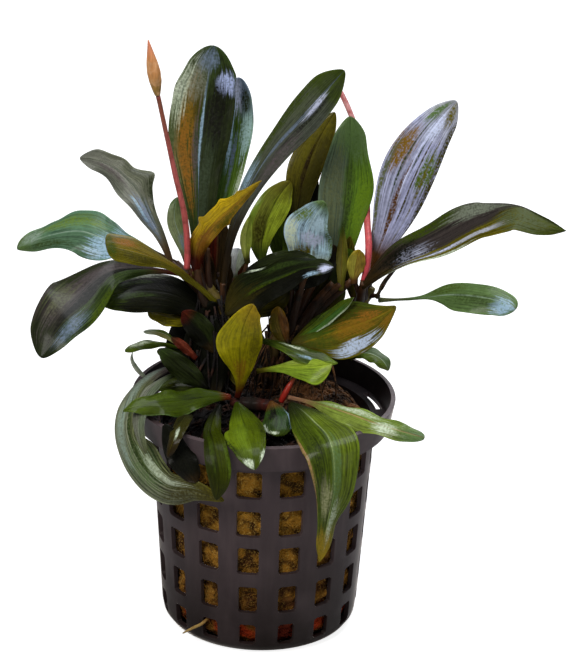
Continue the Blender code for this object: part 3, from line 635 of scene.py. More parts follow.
def leaf_skin(name, line, left, right, faces, fold, tip, cup, waves, nicks):
    """The closed skin of a leaf, and how far each point is on its underside.

    At share u of the midrib each half is as wide as a smooth curve through its table says, times
    the round end sqrt(1 - s^2) over the last part of the leaf. Once round the section, an angle
    gives across = cos, from the right margin to the left and back, and thick = sin. The place is
    midrib + side w across + normal (w |across| tan(fold) + cup w across^2 + ripple + thick T / 2),
    where ripple = waves[0] |across|^3 sin(2 pi (waves[1] u + waves[2]) + 1.2 across), and T falls
    from the stalk to the blade. nicks are (side, u, depth, spread): bumps in the margin.
    """
    count, sides = 84, 36
    u = 1 - (1 - np.linspace(0, 1, count)) ** 1.35
    middle = smooth_line(line, u)
    fine = np.linspace(0, 1, 401)
    bearing = unit(np.gradient(smooth_line(line, fine), axis=0))
    bearing = np.stack([np.interp(u, fine, bearing[:, axis]) for axis in range(3)], axis=-1)
    ways = unit(np.array(faces, float))
    spread = np.linspace(0, 1, len(ways))
    normal = np.stack([np.interp(u, spread, ways[:, axis]) for axis in range(3)], axis=-1)
    side = unit(np.cross(bearing, normal))
    normal = np.cross(side, unit(bearing))
    reach, blunt = tip
    end = np.sqrt(1 - np.clip((u - 1 + reach) / reach, 0, 0.9999) ** 2)
    swell = 1 / np.sqrt(1 - np.clip((STATIONS[5] - 1 + reach) / reach, 0, 0.9) ** 2)
    half = []
    for sign, table in ((-1, left), (1, right)):
        knots = np.array([STALK, *table[:4], table[4] * swell, table[4] * blunt])[:, None]
        width = smooth_values(knots, STATIONS, u)[:, 0]
        for where, at, depth, wide in nicks:
            width = width + (where == sign) * depth * np.exp(-((u - at) / wide) ** 2)
        half.append(np.maximum(width * end, 0.02))
    angle = np.linspace(0, -2 * np.pi, sides, endpoint=False)
    across, thick = np.cos(angle)[None, :], np.sin(angle)[None, :]
    width = np.where(across < 0, half[0][:, None], half[1][:, None])
    heavy = (BLADE_THICK + STALK_THICKER * np.exp(-(u / 0.13) ** 2)) * np.clip(end * 3, 0.05, 1)
    wavy = np.clip((u - 0.12) / 0.2, 0, 1) * np.clip(end * 1.5, 0, 1)
    phase = 2 * np.pi * (waves[1] * u[:, None] + waves[2]) + 1.2 * across
    ripple = waves[0] * np.abs(across) ** 3 * np.sin(phase)
    rise_by = width * np.abs(across) * math.tan(math.radians(fold)) + cup * width * across**2
    rise_by = rise_by + ripple * wavy[:, None] + thick * heavy[:, None] / 2
    rings = middle[:, None] + side[:, None] * (width * across)[..., None]
    rings = rings + normal[:, None] * rise_by[..., None]
    mesh = skin(name, rings[None], u, (np.cos(np.linspace(0, -2 * np.pi, sides + 1)) + 1) / 2)
    under = np.broadcast_to(np.clip(-thick * 3, 0, 1), (count, sides)).ravel()
    mark = mesh.attributes.new("underside", "FLOAT", "POINT")
    mark.data.foreach_set("value", np.append(under, [0, 0]).astype(np.float32))
    return mesh


leaf_face, takes, gives = new_group(
    "leaf_face",
    (("Left", COLOUR, LEAF), ("Right", COLOUR, LEAF), ("Foot", COLOUR, UMBER), ("Tip", COLOUR, SAGE),
     ("Rib", COLOUR, GREY_SAGE), ("Underside", COLOUR, GREY_SAGE), ("Foot End", NUMBER, 0.25),
     ("Rib Width", NUMBER, 0.09), ("Streak", NUMBER, 0.5), ("Mottle", NUMBER, 0.5)),
    (("Colour", COLOUR), ("Roughness", NUMBER), ("Height", NUMBER)))
here = add(leaf_face, "ShaderNodeTexCoord").outputs["Object"]
surface = add(leaf_face, "ShaderNodeUVMap", uv_map="surface").outputs[0]
parts = add(leaf_face, "ShaderNodeSeparateXYZ", surface).outputs
u = parts[0]
v = maths(leaf_face, "MULTIPLY_ADD", parts[1], 2.0, -1.0)
off_rib = maths(leaf_face, "ABSOLUTE", v)
broad = cloud(leaf_face, here, 4.5)
small = cloud(leaf_face, here, 0.9, 4)
loose = maths(leaf_face, "SUBTRACT", broad, 0.5)
streak_at = add(leaf_face, "ShaderNodeCombineXYZ", maths(leaf_face, "MULTIPLY", u, 2.4),
                maths(leaf_face, "MULTIPLY", v, 9.0), broad).outputs[0]
streaky = add(leaf_face, "ShaderNodeTexNoise", streak_at)
streaky.inputs["Scale"].default_value = 1.6
streaky.inputs["Detail"].default_value = 3
streaky = streaky.outputs["Fac"]
thread_at = add(leaf_face, "ShaderNodeCombineXYZ", maths(leaf_face, "MULTIPLY", u, 3.0),
                maths(leaf_face, "MULTIPLY", v, 26.0), broad).outputs[0]
threads = add(leaf_face, "ShaderNodeTexNoise", thread_at)
threads.inputs["Scale"].default_value = 1.5
threads.inputs["Detail"].default_value = 2
threads = threads.outputs["Fac"]
vein_turn = maths(leaf_face, "MULTIPLY_ADD", off_rib, -22.0, maths(leaf_face, "MULTIPLY", u, 120.0))
vein_turn = maths(leaf_face, "ADD", vein_turn, maths(leaf_face, "MULTIPLY", broad, 5.0))
veins = rise(leaf_face, maths(leaf_face, "SINE", vein_turn), 0.55, 1.0)
rib = maths(leaf_face, "SUBTRACT", 1.0, rise(leaf_face, off_rib, 0.0, takes["Rib Width"]))
at_right = rise(leaf_face, maths(leaf_face, "MULTIPLY_ADD", loose, 0.5, v), -0.15, 0.15)
colour = blend_colour(leaf_face, at_right, takes["Left"], takes["Right"])
at_tip = rise(leaf_face, maths(leaf_face, "MULTIPLY_ADD", loose, 0.35, u), 0.74, 1.0)
colour = blend_colour(leaf_face, at_tip, colour, takes["Tip"])
at_rib = maths(leaf_face, "MULTIPLY", rib, maths(leaf_face, "MULTIPLY_ADD", u, -0.5, 0.9))
colour = blend_colour(leaf_face, at_rib, colour, takes["Rib"])
up_foot = maths(leaf_face, "DIVIDE", maths(leaf_face, "MULTIPLY_ADD", loose, 0.12, u), takes["Foot End"])
at_foot = maths(leaf_face, "SUBTRACT", 1.0, rise(leaf_face, up_foot, 0.3, 1.1))
colour = blend_colour(leaf_face, at_foot, colour, takes["Foot"])
under = add(leaf_face, "ShaderNodeAttribute", attribute_name="underside").outputs["Fac"]
colour = blend_colour(leaf_face, maths(leaf_face, "MULTIPLY", under, 0.75), colour, takes["Underside"])
light = maths(leaf_face, "MULTIPLY_ADD", maths(leaf_face, "SUBTRACT", streaky, 0.5),
              maths(leaf_face, "MULTIPLY", takes["Streak"], 2.6), 0.92)
light = maths(leaf_face, "MULTIPLY_ADD", maths(leaf_face, "SUBTRACT", small, 0.5),
              maths(leaf_face, "MULTIPLY", takes["Mottle"], 1.3), light)
light = maths(leaf_face, "MULTIPLY_ADD", maths(leaf_face, "SUBTRACT", threads, 0.5),
              maths(leaf_face, "MULTIPLY", takes["Streak"], 2.4), light)
light = maths(leaf_face, "MULTIPLY_ADD", veins, maths(leaf_face, "MULTIPLY", takes["Streak"], 0.08), light)
# Both margins lighter: a painted highlight along the edges.
light = maths(leaf_face, "MULTIPLY_ADD", rise(leaf_face, off_rib, 0.86, 1.0), 0.3, light)
light = maths(leaf_face, "MAXIMUM", light, 0.15)
light = add(leaf_face, "ShaderNodeCombineColor", light, light, light).outputs[0]
leaf_face.links.new(blend_colour(leaf_face, 1.0, colour, light, "MULTIPLY"), gives["Colour"])
uneven = maths(leaf_face, "MULTIPLY_ADD", small, 0.25, 0.16)
leaf_face.links.new(maths(leaf_face, "MULTIPLY_ADD", broad, 0.3, uneven), gives["Roughness"])
pebbles = add(leaf_face, "ShaderNodeTexVoronoi", here, feature="SMOOTH_F1")
pebbles.inputs["Scale"].default_value = 1500
high = maths(leaf_face, "MULTIPLY_ADD", rib, -0.9, maths(leaf_face, "MULTIPLY", veins, -0.12))
high = maths(leaf_face, "MULTIPLY_ADD", streaky, 0.6, maths(leaf_face, "MULTIPLY_ADD", threads, 0.6, high))
high = maths(leaf_face, "MULTIPLY_ADD", pebbles.outputs["Distance"], 0.35, high)
leaf_face.links.new(maths(leaf_face, "MULTIPLY_ADD", small, 0.25, high), gives["Height"])

# Patches laid over a leaf's colour: some are its own ochre, rust, olive or dark patches, and the pale and
# bluish ones are painted highlights and sheen, broken into glints by the speckle and kept off the
# underside.
patch_and_highlight, takes, gives = new_group(
    "patch_and_highlight",
    (("Under", COLOUR, LEAF), ("Bloom", COLOUR, LAVENDER), ("Middle", VECTOR, (0.5, 0, 0)),
     ("Reach", VECTOR, (0.2, 0.5, 1)), ("Amount", NUMBER, 0.8), ("Ragged", NUMBER, 0.6)),
    (("Colour", COLOUR),))
here = add(patch_and_highlight, "ShaderNodeTexCoord").outputs["Object"]
surface = add(patch_and_highlight, "ShaderNodeUVMap", uv_map="surface").outputs[0]
parts = add(patch_and_highlight, "ShaderNodeSeparateXYZ", surface).outputs
v = maths(patch_and_highlight, "MULTIPLY_ADD", parts[1], 2.0, -1.0)
spot = add(patch_and_highlight, "ShaderNodeCombineXYZ", parts[0], v, 0.0).outputs[0]
spot = add(patch_and_highlight, "ShaderNodeVectorMath", spot, takes["Middle"], operation="SUBTRACT").outputs[0]
spot = add(patch_and_highlight, "ShaderNodeVectorMath", spot, takes["Reach"], operation="DIVIDE").outputs[0]
far = add(patch_and_highlight, "ShaderNodeVectorMath", spot, operation="LENGTH").outputs["Value"]
brush_at = add(patch_and_highlight, "ShaderNodeCombineXYZ", maths(patch_and_highlight, "MULTIPLY", parts[0], 2.2),
               maths(patch_and_highlight, "MULTIPLY", v, 9.0), cloud(patch_and_highlight, here, 4.0)).outputs[0]
brush = add(patch_and_highlight, "ShaderNodeTexNoise", brush_at)
brush.inputs["Scale"].default_value = 2.0
brush.inputs["Detail"].default_value = 4
ragged = maths(patch_and_highlight, "MULTIPLY", maths(patch_and_highlight, "SUBTRACT", brush.outputs["Fac"], 0.5),
               maths(patch_and_highlight, "MULTIPLY", takes["Ragged"], 4.6))
far = maths(patch_and_highlight, "ADD", far, ragged)
near = maths(patch_and_highlight, "SUBTRACT", 1.0, rise(patch_and_highlight, far, 0.5, 1.25))
cover = maths(patch_and_highlight, "MULTIPLY", near, takes["Amount"])
speckle = maths(patch_and_highlight, "MULTIPLY_ADD", cloud(patch_and_highlight, here, 0.5, 3), 3.4, -0.65)
cover = maths(patch_and_highlight, "MULTIPLY", cover, maths(patch_and_highlight, "MAXIMUM", speckle, 0.2))
cover = maths(patch_and_highlight, "MINIMUM", cover, 1.0)
under = add(patch_and_highlight, "ShaderNodeAttribute", attribute_name="underside").outputs["Fac"]
cover = maths(patch_and_highlight, "MULTIPLY", cover, maths(patch_and_highlight, "SUBTRACT", 1.0, under))
patch_and_highlight.links.new(blend_colour(patch_and_highlight, cover, takes["Under"], takes["Bloom"]), gives["Colour"])


def leaf_finish(name, tones, patches, foot_end, rib_width, streak, mottle, gloss):
    """A leaf's own material: its halves, foot, tip and rib, then patches of colour and of painted
    highlight, one on another.
    """
    material, nodes, shader = new_finish(name, Specular_IOR_Level=0.08,
                                         Coat_Weight=gloss * 0.4, Coat_Roughness=0.16)
    left, right, foot, tip, rib = tones
    face = use_group(nodes, leaf_face, Left=left, Right=right, Foot=foot, Tip=tip, Rib=rib,
                     Foot_End=foot_end, Rib_Width=rib_width, Streak=streak, Mottle=mottle)
    colour = face["Colour"]
    for at, across, long, wide, patch, amount in patches:
        colour = use_group(nodes, patch_and_highlight, Under=colour, Bloom=patch, Middle=(at, across, 0),
                           Reach=(long, wide, 1), Amount=amount)["Colour"]
    nodes.links.new(colour, shader.inputs["Base Color"])
    nodes.links.new(face["Roughness"], shader.inputs["Roughness"])
    nodes.links.new(bump(nodes, face["Height"], 0.16, 0.8), shader.inputs["Normal"])
    return material


def leaf(name, line, left, right, faces, tones, patches=(), fold=0, tip=ROUND, cup=-0.12,
         waves=(0.2, 3, 0), nicks=(), foot_end=0.25, rib_width=0.09, streak=0.5, mottle=0.5, gloss=0.4,
         node=True):
    """Makes one leaf and puts it in the place of the node of its name, if it has one.

    line is the midrib from the foot to the tip, and left and right are the half-widths at the
    five inner stations. faces are directions that the upper face looks, evenly spaced along it.
    tones are those of the left half, right half, foot, tip and rib. Each patch is (share of the
    length, place across from -1 to 1, reach along, reach across, tone, strength); the pale and bluish
    ones are painted highlights.
    """
    finish = leaf_finish(name + "_finish", tones, patches, foot_end, rib_width, streak, mottle, gloss)
    blade = place(leaf_skin(name + "_blade", line, left, right, faces, fold, tip, cup, waves, nicks),
                  finish)
    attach(blade, "root")
    if node:
        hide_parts(name)


leaf("leaf_01", ((-14.5, 8, 75.5), (-14.5, 11, 86), (-14.5, 16, 98.5), (-13.5, 20, 109), (-12, 23, 119)),
     (1.9, 4.6, 6.8, 6.2, 4.2), (2.8, 4.5, 6.1, 6.0, 4.3), FRONT, (BOTTLE, PINE, INK, BOTTLE, STEEL),
     ((0.7, -0.45, 0.18, 0.3, OCHRE, 0.8), (0.46, -0.5, 0.2, 0.3, RUST, 0.7),
      (0.76, -0.2, 0.1, 0.2, BROWN_OLIVE, 0.7), (0.55, -0.9, 0.3, 0.2, GREY_SAGE, 0.5),
      (0.85, -0.5, 0.12, 0.5, PEWTER, 0.6), (0.94, -0.1, 0.06, 0.5, STEEL, 0.6),
      (0.79, -0.8, 0.14, 0.25, PALE, 0.35), (0.84, 0.66, 0.05, 0.36, tone(166, 180, 222), 0.9),
      (0.6, 0.0, 0.2, 0.05, ICE, 0.9), (0.35, 0.3, 0.3, 0.3, SLATE, 0.7),
      (0.5, -0.15, 0.2, 0.1, MAUVE, 0.6), (0.7, 0.4, 0.14, 0.35, INK, 0.8)), fold=8,
     waves=(0.4, 3.4, 0.1), tip=(0.1, 0.8), streak=0.7, mottle=0.9, rib_width=0.04,
     nicks=((1, 0.88, 0.5, 0.03), (-1, 0.8, 0.4, 0.05), (-1, 0.5, 0.4, 0.06)))
leaf("leaf_02", ((-11.5, 11, 70), (-10.5, 15.5, 84.3), (-8.5, 20.5, 94.8), (-7.5, 24.5, 103.3),
                 (-6.8, 27, 111)), (1.2, 2.5, 3.2, 3.2, 2.2), (1.2, 2.7, 3.6, 4.1, 2.8), FRONT,
     (tone(60, 86, 30), tone(76, 104, 26), INK, STEEL, BOTTLE),
     ((0.9, -0.3, 0.12, 0.6, LAVENDER, 1.0), (0.72, -0.1, 0.16, 0.16, ICE, 0.8),
      (0.6, 0.2, 0.16, 0.12, STEEL, 0.8), (0.74, 0.7, 0.12, 0.3, tone(150, 180, 176), 0.9),
      (0.5, 0.9, 0.1, 0.2, PALE, 0.5), (0.9, 0.6, 0.06, 0.3, PINE, 0.8)), fold=8,
     streak=0.8, tip=(0.1, 0.8))
leaf("leaf_03", ((-9, 7, 71), (-6, 8, 88.5), (0.5, 7, 102), (7.5, 4, 111.5), (14.5, 0, 121.5)),
     (0.8, 1.7, 2.3, 3.7, 3.0), (1.1, 2.4, 3.6, 3.8, 2.7), FRONT,
     (tone(84, 92, 72), tone(76, 82, 70), UMBER, MOSS, STEEL),
     ((0.42, -0.75, 0.09, 0.5, ICE, 0.9), (0.81, 0.14, 0.08, 0.16, LAVENDER, 1.0),
      (0.68, 0.08, 0.14, 0.06, STEEL, 0.9), (0.7, 0.35, 0.25, 0.12, INK, 0.6),
      (0.55, 0.6, 0.14, 0.4, tone(98, 90, 92), 0.6), (0.7, -0.85, 0.3, 0.3, MOSS, 0.7)),
     fold=10, foot_end=0.42, streak=0.7, waves=(0.35, 3, 0.3))
leaf("leaf_04", ((7, 15, 74.5), (6.5, 19, 87), (9, 22, 96), (13.5, 25, 104.5)), (1.1, 2.9, 4.1, 3.0, 1.6),
     (1.1, 2.3, 3.1, 2.9, 1.8), FRONT, (tone(78, 72, 10), tone(66, 60, 8), INK, OLIVE, UMBER),
     ((0.75, -0.3, 0.2, 0.5, OLIVE, 0.7), (0.5, 0.5, 0.3, 0.4, BROWN_OLIVE, 0.6),
      (0.62, -0.1, 0.2, 0.12, UMBER, 0.8)), fold=8, foot_end=0.5, mottle=0.8)
leaf("leaf_05", ((14, 7, 71.5), (15, 10, 80.5), (16, 13, 90.5), (16.5, 16, 99.5), (16.5, 18, 106)),
     (3.2, 5.1, 5.7, 4.2, 2.5), (2.7, 4.3, 5.7, 3.9, 2.7), FRONT,
     (tone(76, 90, 72), tone(76, 106, 26), PINE, SAGE, PINE),
     ((0.45, 0.7, 0.24, 0.4, tone(92, 122, 22), 0.9), (0.86, 0.3, 0.12, 0.9, SAGE, 0.8),
      (0.55, -0.5, 0.3, 0.4, GREY_SAGE, 0.5), (0.45, 0.15, 0.3, 0.12, BOTTLE, 0.7)),
     fold=8, streak=0.6, waves=(0.3, 2.6, 0.3))
# Its lavender-silver halves, tip and rib are a painted sheen over the whole blade; the green, brown and
# ochre patches lie on it.
leaf("leaf_06", ((21.5, 8.5, 75), (25, 11, 85), (28.5, 13, 95.5), (33, 16, 103.5), (38.5, 19, 109.5)),
     (2.7, 4.7, 5.5, 4.1, 2.3), (3.2, 5.4, 5.7, 4.6, 2.9), FRONT,
     (tone(160, 164, 194), tone(164, 168, 204), BRONZE, tone(164, 168, 176), LAVENDER),
     ((0.62, 0.97, 0.4, 0.2, BROWN_OLIVE, 0.9), (0.66, -0.6, 0.12, 0.4, OCHRE, 0.9),
      (0.3, -0.05, 0.26, 0.12, BRONZE, 0.9), (0.6, 0.6, 0.12, 0.28, LEAF, 0.9),
      (0.45, 0.6, 0.3, 0.05, OLIVE, 0.7), (0.6, 0.3, 0.35, 0.04, BROWN_OLIVE, 0.8),
      (0.55, -0.3, 0.3, 0.04, SLATE, 0.8), (0.72, 0.1, 0.2, 0.03, SLATE, 0.8),
      (0.4, -0.85, 0.3, 0.12, GREY_SAGE, 0.9), (0.9, -0.5, 0.08, 0.3, SAGE, 0.9),
      (0.93, 0.4, 0.07, 0.35, OLIVE, 0.8), (0.82, 0.1, 0.1, 0.25, tone(206, 216, 246), 0.8)),
     fold=6, streak=0.7, mottle=0.7, waves=(0.4, 3, 0.4))


# At the left, six leaves spread sideways from the crown of the left rhizome, and two small ones
# fill the space between them. They are turned to the light, so their upper faces look up and forward.
# Their pale and bluish patches are painted highlights.

leaf("leaf_22", ((-16, 8, 73.5), (-24, 6, 75.5), (-31.5, 0, 76.5), (-36.5, -7, 73), (-41, -12, 70),
                 (-45, -16, 64.5)), (0.9, 2.2, 3.4, 3.9, 2.5), (0.8, 3.6, 8.4, 7.2, 4.6),
     ((-0.1, -0.75, 0.65),), (tone(50, 66, 26), tone(50, 45, 42), WINE, PINE, INK),
     ((0.8, -0.5, 0.12, 0.4, STEEL, 0.6), (0.6, -0.9, 0.12, 0.3, LEAF, 0.7),
      (0.55, 0.5, 0.35, 0.3, MAUVE, 0.4), (0.5, 0.85, 0.3, 0.2, PINE, 0.8),
      (0.62, 0.12, 0.35, 0.12, INK, 0.9), (0.7, 0.6, 0.1, 0.3, GREY_SAGE, 0.4)),
     streak=0.9, waves=(0.6, 2.6, 0.2), gloss=0.35)
leaf("leaf_23", ((-12, 6, 65), (-18, 6, 69.5), (-24, 4, 71.5), (-30, 1, 72), (-35, -2, 71.5)),
     (3.2, 4.6, 4.8, 4.4, 2.6), (3.8, 4.9, 4.6, 3.0, 2.1), UP,
     (tone(18, 20, 4), tone(10, 10, 4), INK, MOSS, INK),
     ((0.62, 0.9, 0.2, 0.2, PEWTER, 0.9), (0.85, 0.1, 0.14, 0.7, MOSS, 0.9),
      (0.7, -0.2, 0.2, 0.15, BOTTLE, 0.8), (0.72, 0.5, 0.2, 0.14, BOTTLE, 0.8)),
     foot_end=0.6, gloss=0.3, streak=0.9)
leaf("leaf_24", ((-19, 13.5, 74.2), (-26.5, 14, 77.5), (-33.5, 16, 78), (-39.5, 18, 79), (-46, 19, 77.5),
                 (-53, 20, 74)), (0.8, 4.7, 5.0, 2.9, 1.6), (0.8, 4.2, 6.1, 3.3, 2.0), UP,
     (tone(74, 104, 78), tone(84, 118, 92), BARK, SAGE, MIST),
     ((0.4, -0.4, 0.12, 0.7, ICE, 0.9), (0.36, 0.4, 0.06, 0.5, ICE, 0.7),
      (0.66, 0.5, 0.2, 0.3, GRASS, 0.5), (0.8, -0.6, 0.15, 0.3, BOTTLE, 0.6),
      (0.9, 0.3, 0.08, 0.5, MIST, 0.6)), waves=(0.7, 2.6, 0.6), streak=0.7, rib_width=0.05,
     nicks=((1, 0.42, 0.6, 0.05), (1, 0.6, -0.5, 0.04), (1, 0.78, 0.5, 0.04)))
leaf("leaf_25", ((-10.5, 5, 69), (-15.5, 3, 74.5), (-21, 0, 79.5), (-26, -3, 82.5), (-32.5, -7, 85.5)),
     (0.7, 1.0, 1.9, 3.1, 3.0), (0.7, 1.0, 2.2, 4.2, 3.8), UP,
     (OLIVE, tone(112, 98, 24), OLIVE, OLIVE, MUSTARD),
     ((0.97, 0.0, 0.05, 1.0, MOSS, 0.8), (0.84, 0.4, 0.1, 0.3, RUST, 0.8),
      (0.7, -0.5, 0.2, 0.3, BROWN_OLIVE, 0.7)), tip=BLUNT, foot_end=0.5, streak=0.7,
     rib_width=0.06)
leaf("leaf_26", ((-20, 11, 75), (-22.5, 13, 80.5), (-24.5, 15, 83.5), (-27.5, 18, 88), (-33, 22, 92),
                 (-40, 25, 93)), (1.1, 2.5, 3.5, 2.3, 1.7), (1.1, 2, 4.2, 2.6, 2.2), FRONT,
     (tone(104, 108, 96), tone(92, 96, 78), BARK, tone(104, 106, 96), PEWTER),
     ((0.34, -0.2, 0.16, 0.5, STEEL, 0.9), (0.42, -0.45, 0.1, 0.14, ICE, 0.9),
      (0.45, 0.85, 0.1, 0.35, PINE, 0.8), (0.75, -0.2, 0.14, 0.3, MAUVE, 0.6),
      (0.6, 0.1, 0.3, 0.1, SLATE, 0.8)), waves=(0.6, 2.5, 0.1),
     nicks=((1, 0.56, 1.4, 0.04), (1, 0.66, -1.0, 0.05)), streak=0.6)
leaf("leaf_27", ((-16.5, 10, 75), (-18, 12, 80), (-19.5, 14, 84), (-19, 16, 88)),
     (0.9, 1.5, 1.7, 1.4, 0.9), (0.9, 1.6, 1.9, 1.5, 0.9), FRONT,
     (tone(116, 128, 90), tone(110, 124, 80), BARK, SAGE, MIST), ((0.35, 0.2, 0.12, 0.6, STEEL, 0.5),))
leaf("leaf_21", ((-14.5, 6, 57), (-20, 5, 59), (-24, 2, 60.5), (-29, -1, 60)), (0.3, 0.55, 1, 1.1, 0.8),
     (0.3, 0.55, 1, 1.1, 0.8), UP, (MOSS, LEAF, BRONZE, GRASS, LIME), ((0.8, 0.4, 0.14, 0.5, PALE, 0.8),))
leaf("leaf_34", ((-13, 7, 54), (-17.5, 5, 56.5), (-22.5, 3, 58.5)), (1.0, 1.7, 1.9, 1.5, 0.95),
     (1.0, 1.7, 1.9, 1.5, 0.95), UP, (PINE, PINE, INK, MOSS, INK), streak=0.8)
leaf("leaf_35", ((-12.5, -1, 51), (-17, 0.3, 52), (-22, -1.7, 52)), (1.3, 2.1, 2.4, 1.9, 1.1),
     (1.5, 2.7, 3.1, 2.4, 1.3), UP, (tone(46, 54, 6), tone(54, 64, 8), UMBER, MOSS, BROWN_OLIVE),
     ((0.6, -0.8, 0.3, 0.2, LEAF, 0.6),), streak=0.8)
leaf("leaf_40", ((-14.5, 6.5, 64.3), (-19, 4.8, 65.3), (-24.5, 3.5, 66.9)), (1.15, 1.9, 2.1, 1.7, 1.05),
     (1.15, 1.9, 2.1, 1.7, 1.05), UP, (tone(124, 116, 14), tone(104, 92, 10), INK, OLIVE, OLIVE),
     ((0.7, -0.6, 0.2, 0.4, INK, 0.5),), foot_end=0.4, streak=0.9)
leaf("leaf_42", ((-14, 4, 56.5), (-18, 5, 59), (-21, 6, 61), (-25.5, 6, 61.5)),
     (0.2, 0.4, 0.7, 0.8, 0.55), (0.2, 0.4, 0.7, 0.8, 0.55), UP,
     (tone(150, 150, 90), GRASS, BLOOD, PALE, PALE), foot_end=0.35)
leaf("leaf_43", ((-22.5, 6, 49.5), (-25.5, 5.5, 51.8), (-27.5, 4.5, 55), (-27.5, 2, 58.5)),
     (0.35, 0.5, 0.47, 0.3, 0.15), (0.35, 0.5, 0.47, 0.3, 0.15), FRONT,
     (tone(224, 230, 206), PALE, MIST, PALE, PALE))


# At the right, a long folded leaf and a paddle-shaped one reach out from the crown of the right
# rhizome; the long one carries painted lavender and silver highlights. A broad one with a painted
# highlight along its lower margin leans towards the pot's rim, with a narrow green leaf along its
# upper edge.

leaf("leaf_07", ((20, 4, 73.5), (27.5, 0, 80.5), (35, -4, 86), (43, -9, 93), (50, -13, 98),
                 (54.5, -15, 96.5), (59, -16, 94.5)), (4.7, 5.5, 5.1, 0.4, 0.3),
     (0.8, 2.4, 2.8, 5.2, 3.0), SIDE, (CHARCOAL, OLIVE, UMBER, MOSS, INK),
     ((0.27, -0.1, 0.1, 0.3, LAVENDER, 1.0), (0.4, 0.5, 0.2, 0.12, LAVENDER, 1.0),
      (0.6, 0.5, 0.14, 0.14, SILVER, 1.0), (0.36, 0.95, 0.2, 0.14, PALE, 0.8),
      (0.82, 0.3, 0.14, 0.7, tone(84, 94, 62), 0.8), (0.4, -0.85, 0.22, 0.25, MOSS, 0.9),
      (0.2, -0.3, 0.12, 0.5, INK, 0.8), (0.5, -0.1, 0.24, 0.3, CHARCOAL, 0.8),
      (0.62, -0.7, 0.14, 0.3, tone(120, 128, 112), 0.8)), tip=POINTED, cup=0.1,
     waves=(0.5, 2.4, 0.3), streak=0.9, gloss=0.35)
leaf("leaf_08", ((23.5, 6, 70), (28.5, 3, 71.5), (32.5, 0, 73), (37.5, -3, 75), (42.5, -6, 76),
                 (47, -8, 76), (50.5, -10, 75)), (0.3, 1.7, 3.4, 3.1, 2.8), (0.3, 0.6, 3.5, 3.6, 3),
     ((0.2, -0.7, 0.7),), (SAGE, SAGE, GREY_SAGE, SAGE, MIST),
     ((0.92, 0.3, 0.08, 0.7, ICE, 0.9), (0.5, -0.6, 0.14, 0.5, MOSS, 0.6),
      (0.72, 0.2, 0.2, 0.4, BOTTLE, 0.5)), tip=BLUNT, foot_end=0.3, streak=0.6)
leaf("leaf_41", ((23, 5, 71), (24, 4, 74), (26, 4, 77.5)), (0.35, 0.5, 0.47, 0.3, 0.15),
     (0.35, 0.5, 0.47, 0.3, 0.15), FRONT, (tone(92, 80, 60), UMBER, UMBER, BARK, UMBER))
leaf("leaf_09", ((5, 1, 61), (11.5, -1, 64), (17.5, -3, 67.5), (22.5, -5, 70.5), (26.5, -6, 73.5)),
     (4.7, 6.2, 5.5, 3.2, 1.3), (2.1, 5.7, 5.9, 4.1, 1.9), SIDE,
     (MOSS, OLIVE, BROWN_OLIVE, OLIVE, MUSTARD),
     ((0.6, -0.5, 0.3, 0.5, BROWN_OLIVE, 0.7), (0.62, 0.05, 0.26, 0.35, OCHRE, 0.9),
      (0.75, -0.3, 0.12, 0.3, RUST, 0.6), (0.4, -0.9, 0.25, 0.3, PINE, 0.8),
      (0.56, 0.72, 0.22, 0.22, tone(190, 206, 232), 1.0), (0.9, 0.6, 0.08, 0.3, OCHRE, 0.9),
      (0.28, 0.3, 0.15, 0.5, MOSS, 0.6)), cup=-0.2, waves=(0.4, 2, 0.2), streak=0.6,
     mottle=0.7)
leaf("leaf_10", ((18, 10, 55), (21.5, 9, 56.5), (24, 8, 56), (26, 6, 54)), (1.1, 2.4, 2.3, 2.0, 1.1),
     (1.1, 1.8, 2.1, 1.8, 1.1), ((0.3, -0.4, 0.9),), (SAGE, GRASS, MOSS, GREY_SAGE, PALE))
leaf("strip_leaf", ((6.4, 1.6, 62.2), (9.3, 1.1, 64.6), (12.5, 0.1, 67.8), (15.5, -0.9, 71),
                    (18, -1.9, 73.6)), (0.9, 1.3, 1.4, 1.1, 0.6), (0.9, 1.2, 1.3, 1.1, 0.6), SIDE,
     (LEAF, tone(66, 104, 40), MOSS, LEAF, BOTTLE),
     ((0.5, 0.9, 0.5, 0.14, PALE, 0.6), (0.5, -0.6, 0.3, 0.3, BOTTLE, 0.6)), tip=POINTED, streak=0.8,
     node=False)


# Between the two crowns stand shorter leaves: yellow and lime young ones, one painted pale blue
# with sheen, and a dark glossy one that lies across the middle, with a painted highlight at its tip.

leaf("leaf_28", ((-14.5, 6, 75), (-14, 4, 82), (-11, 1, 88), (-6, -2, 94), (-1.5, -5, 99.5)),
     (2.1, 2.3, 2.3, 1.3, 0.6), (1.7, 2.1, 1.9, 0.9, 0.4), FRONT,
     (tone(190, 160, 24), tone(158, 120, 26), WINE, MUSTARD, OCHRE),
     ((0.3, 0.2, 0.14, 0.6, RUST, 0.8), (0.6, 0.6, 0.2, 0.4, OLIVE, 0.8),
      (0.42, -0.8, 0.1, 0.3, tone(190, 160, 40), 0.8)), tip=POINTED, foot_end=0.34,
     waves=(0.5, 3, 0), streak=0.7, rib_width=0.06,
     nicks=((-1, 0.42, 0.9, 0.03), (-1, 0.62, 0.6, 0.03), (1, 0.55, 0.4, 0.03), (-1, 0.8, 0.4, 0.03)))
leaf("leaf_29", ((-1, 13, 75), (-1, 15, 80.5), (1, 17, 86), (4.5, 19, 91)), (2.5, 3.8, 3.6, 2.8, 1.6),
     (1.7, 2.7, 3.4, 3.0, 1.7), FRONT, (tone(112, 118, 36), tone(150, 166, 40), MOSS, OLIVE, INK),
     ((0.34, -0.3, 0.2, 0.4, BROWN_OLIVE, 0.7), (0.45, -0.9, 0.3, 0.2, GRASS, 0.9)),
     tip=(0.07, 0.6), streak=0.7, fold=12)
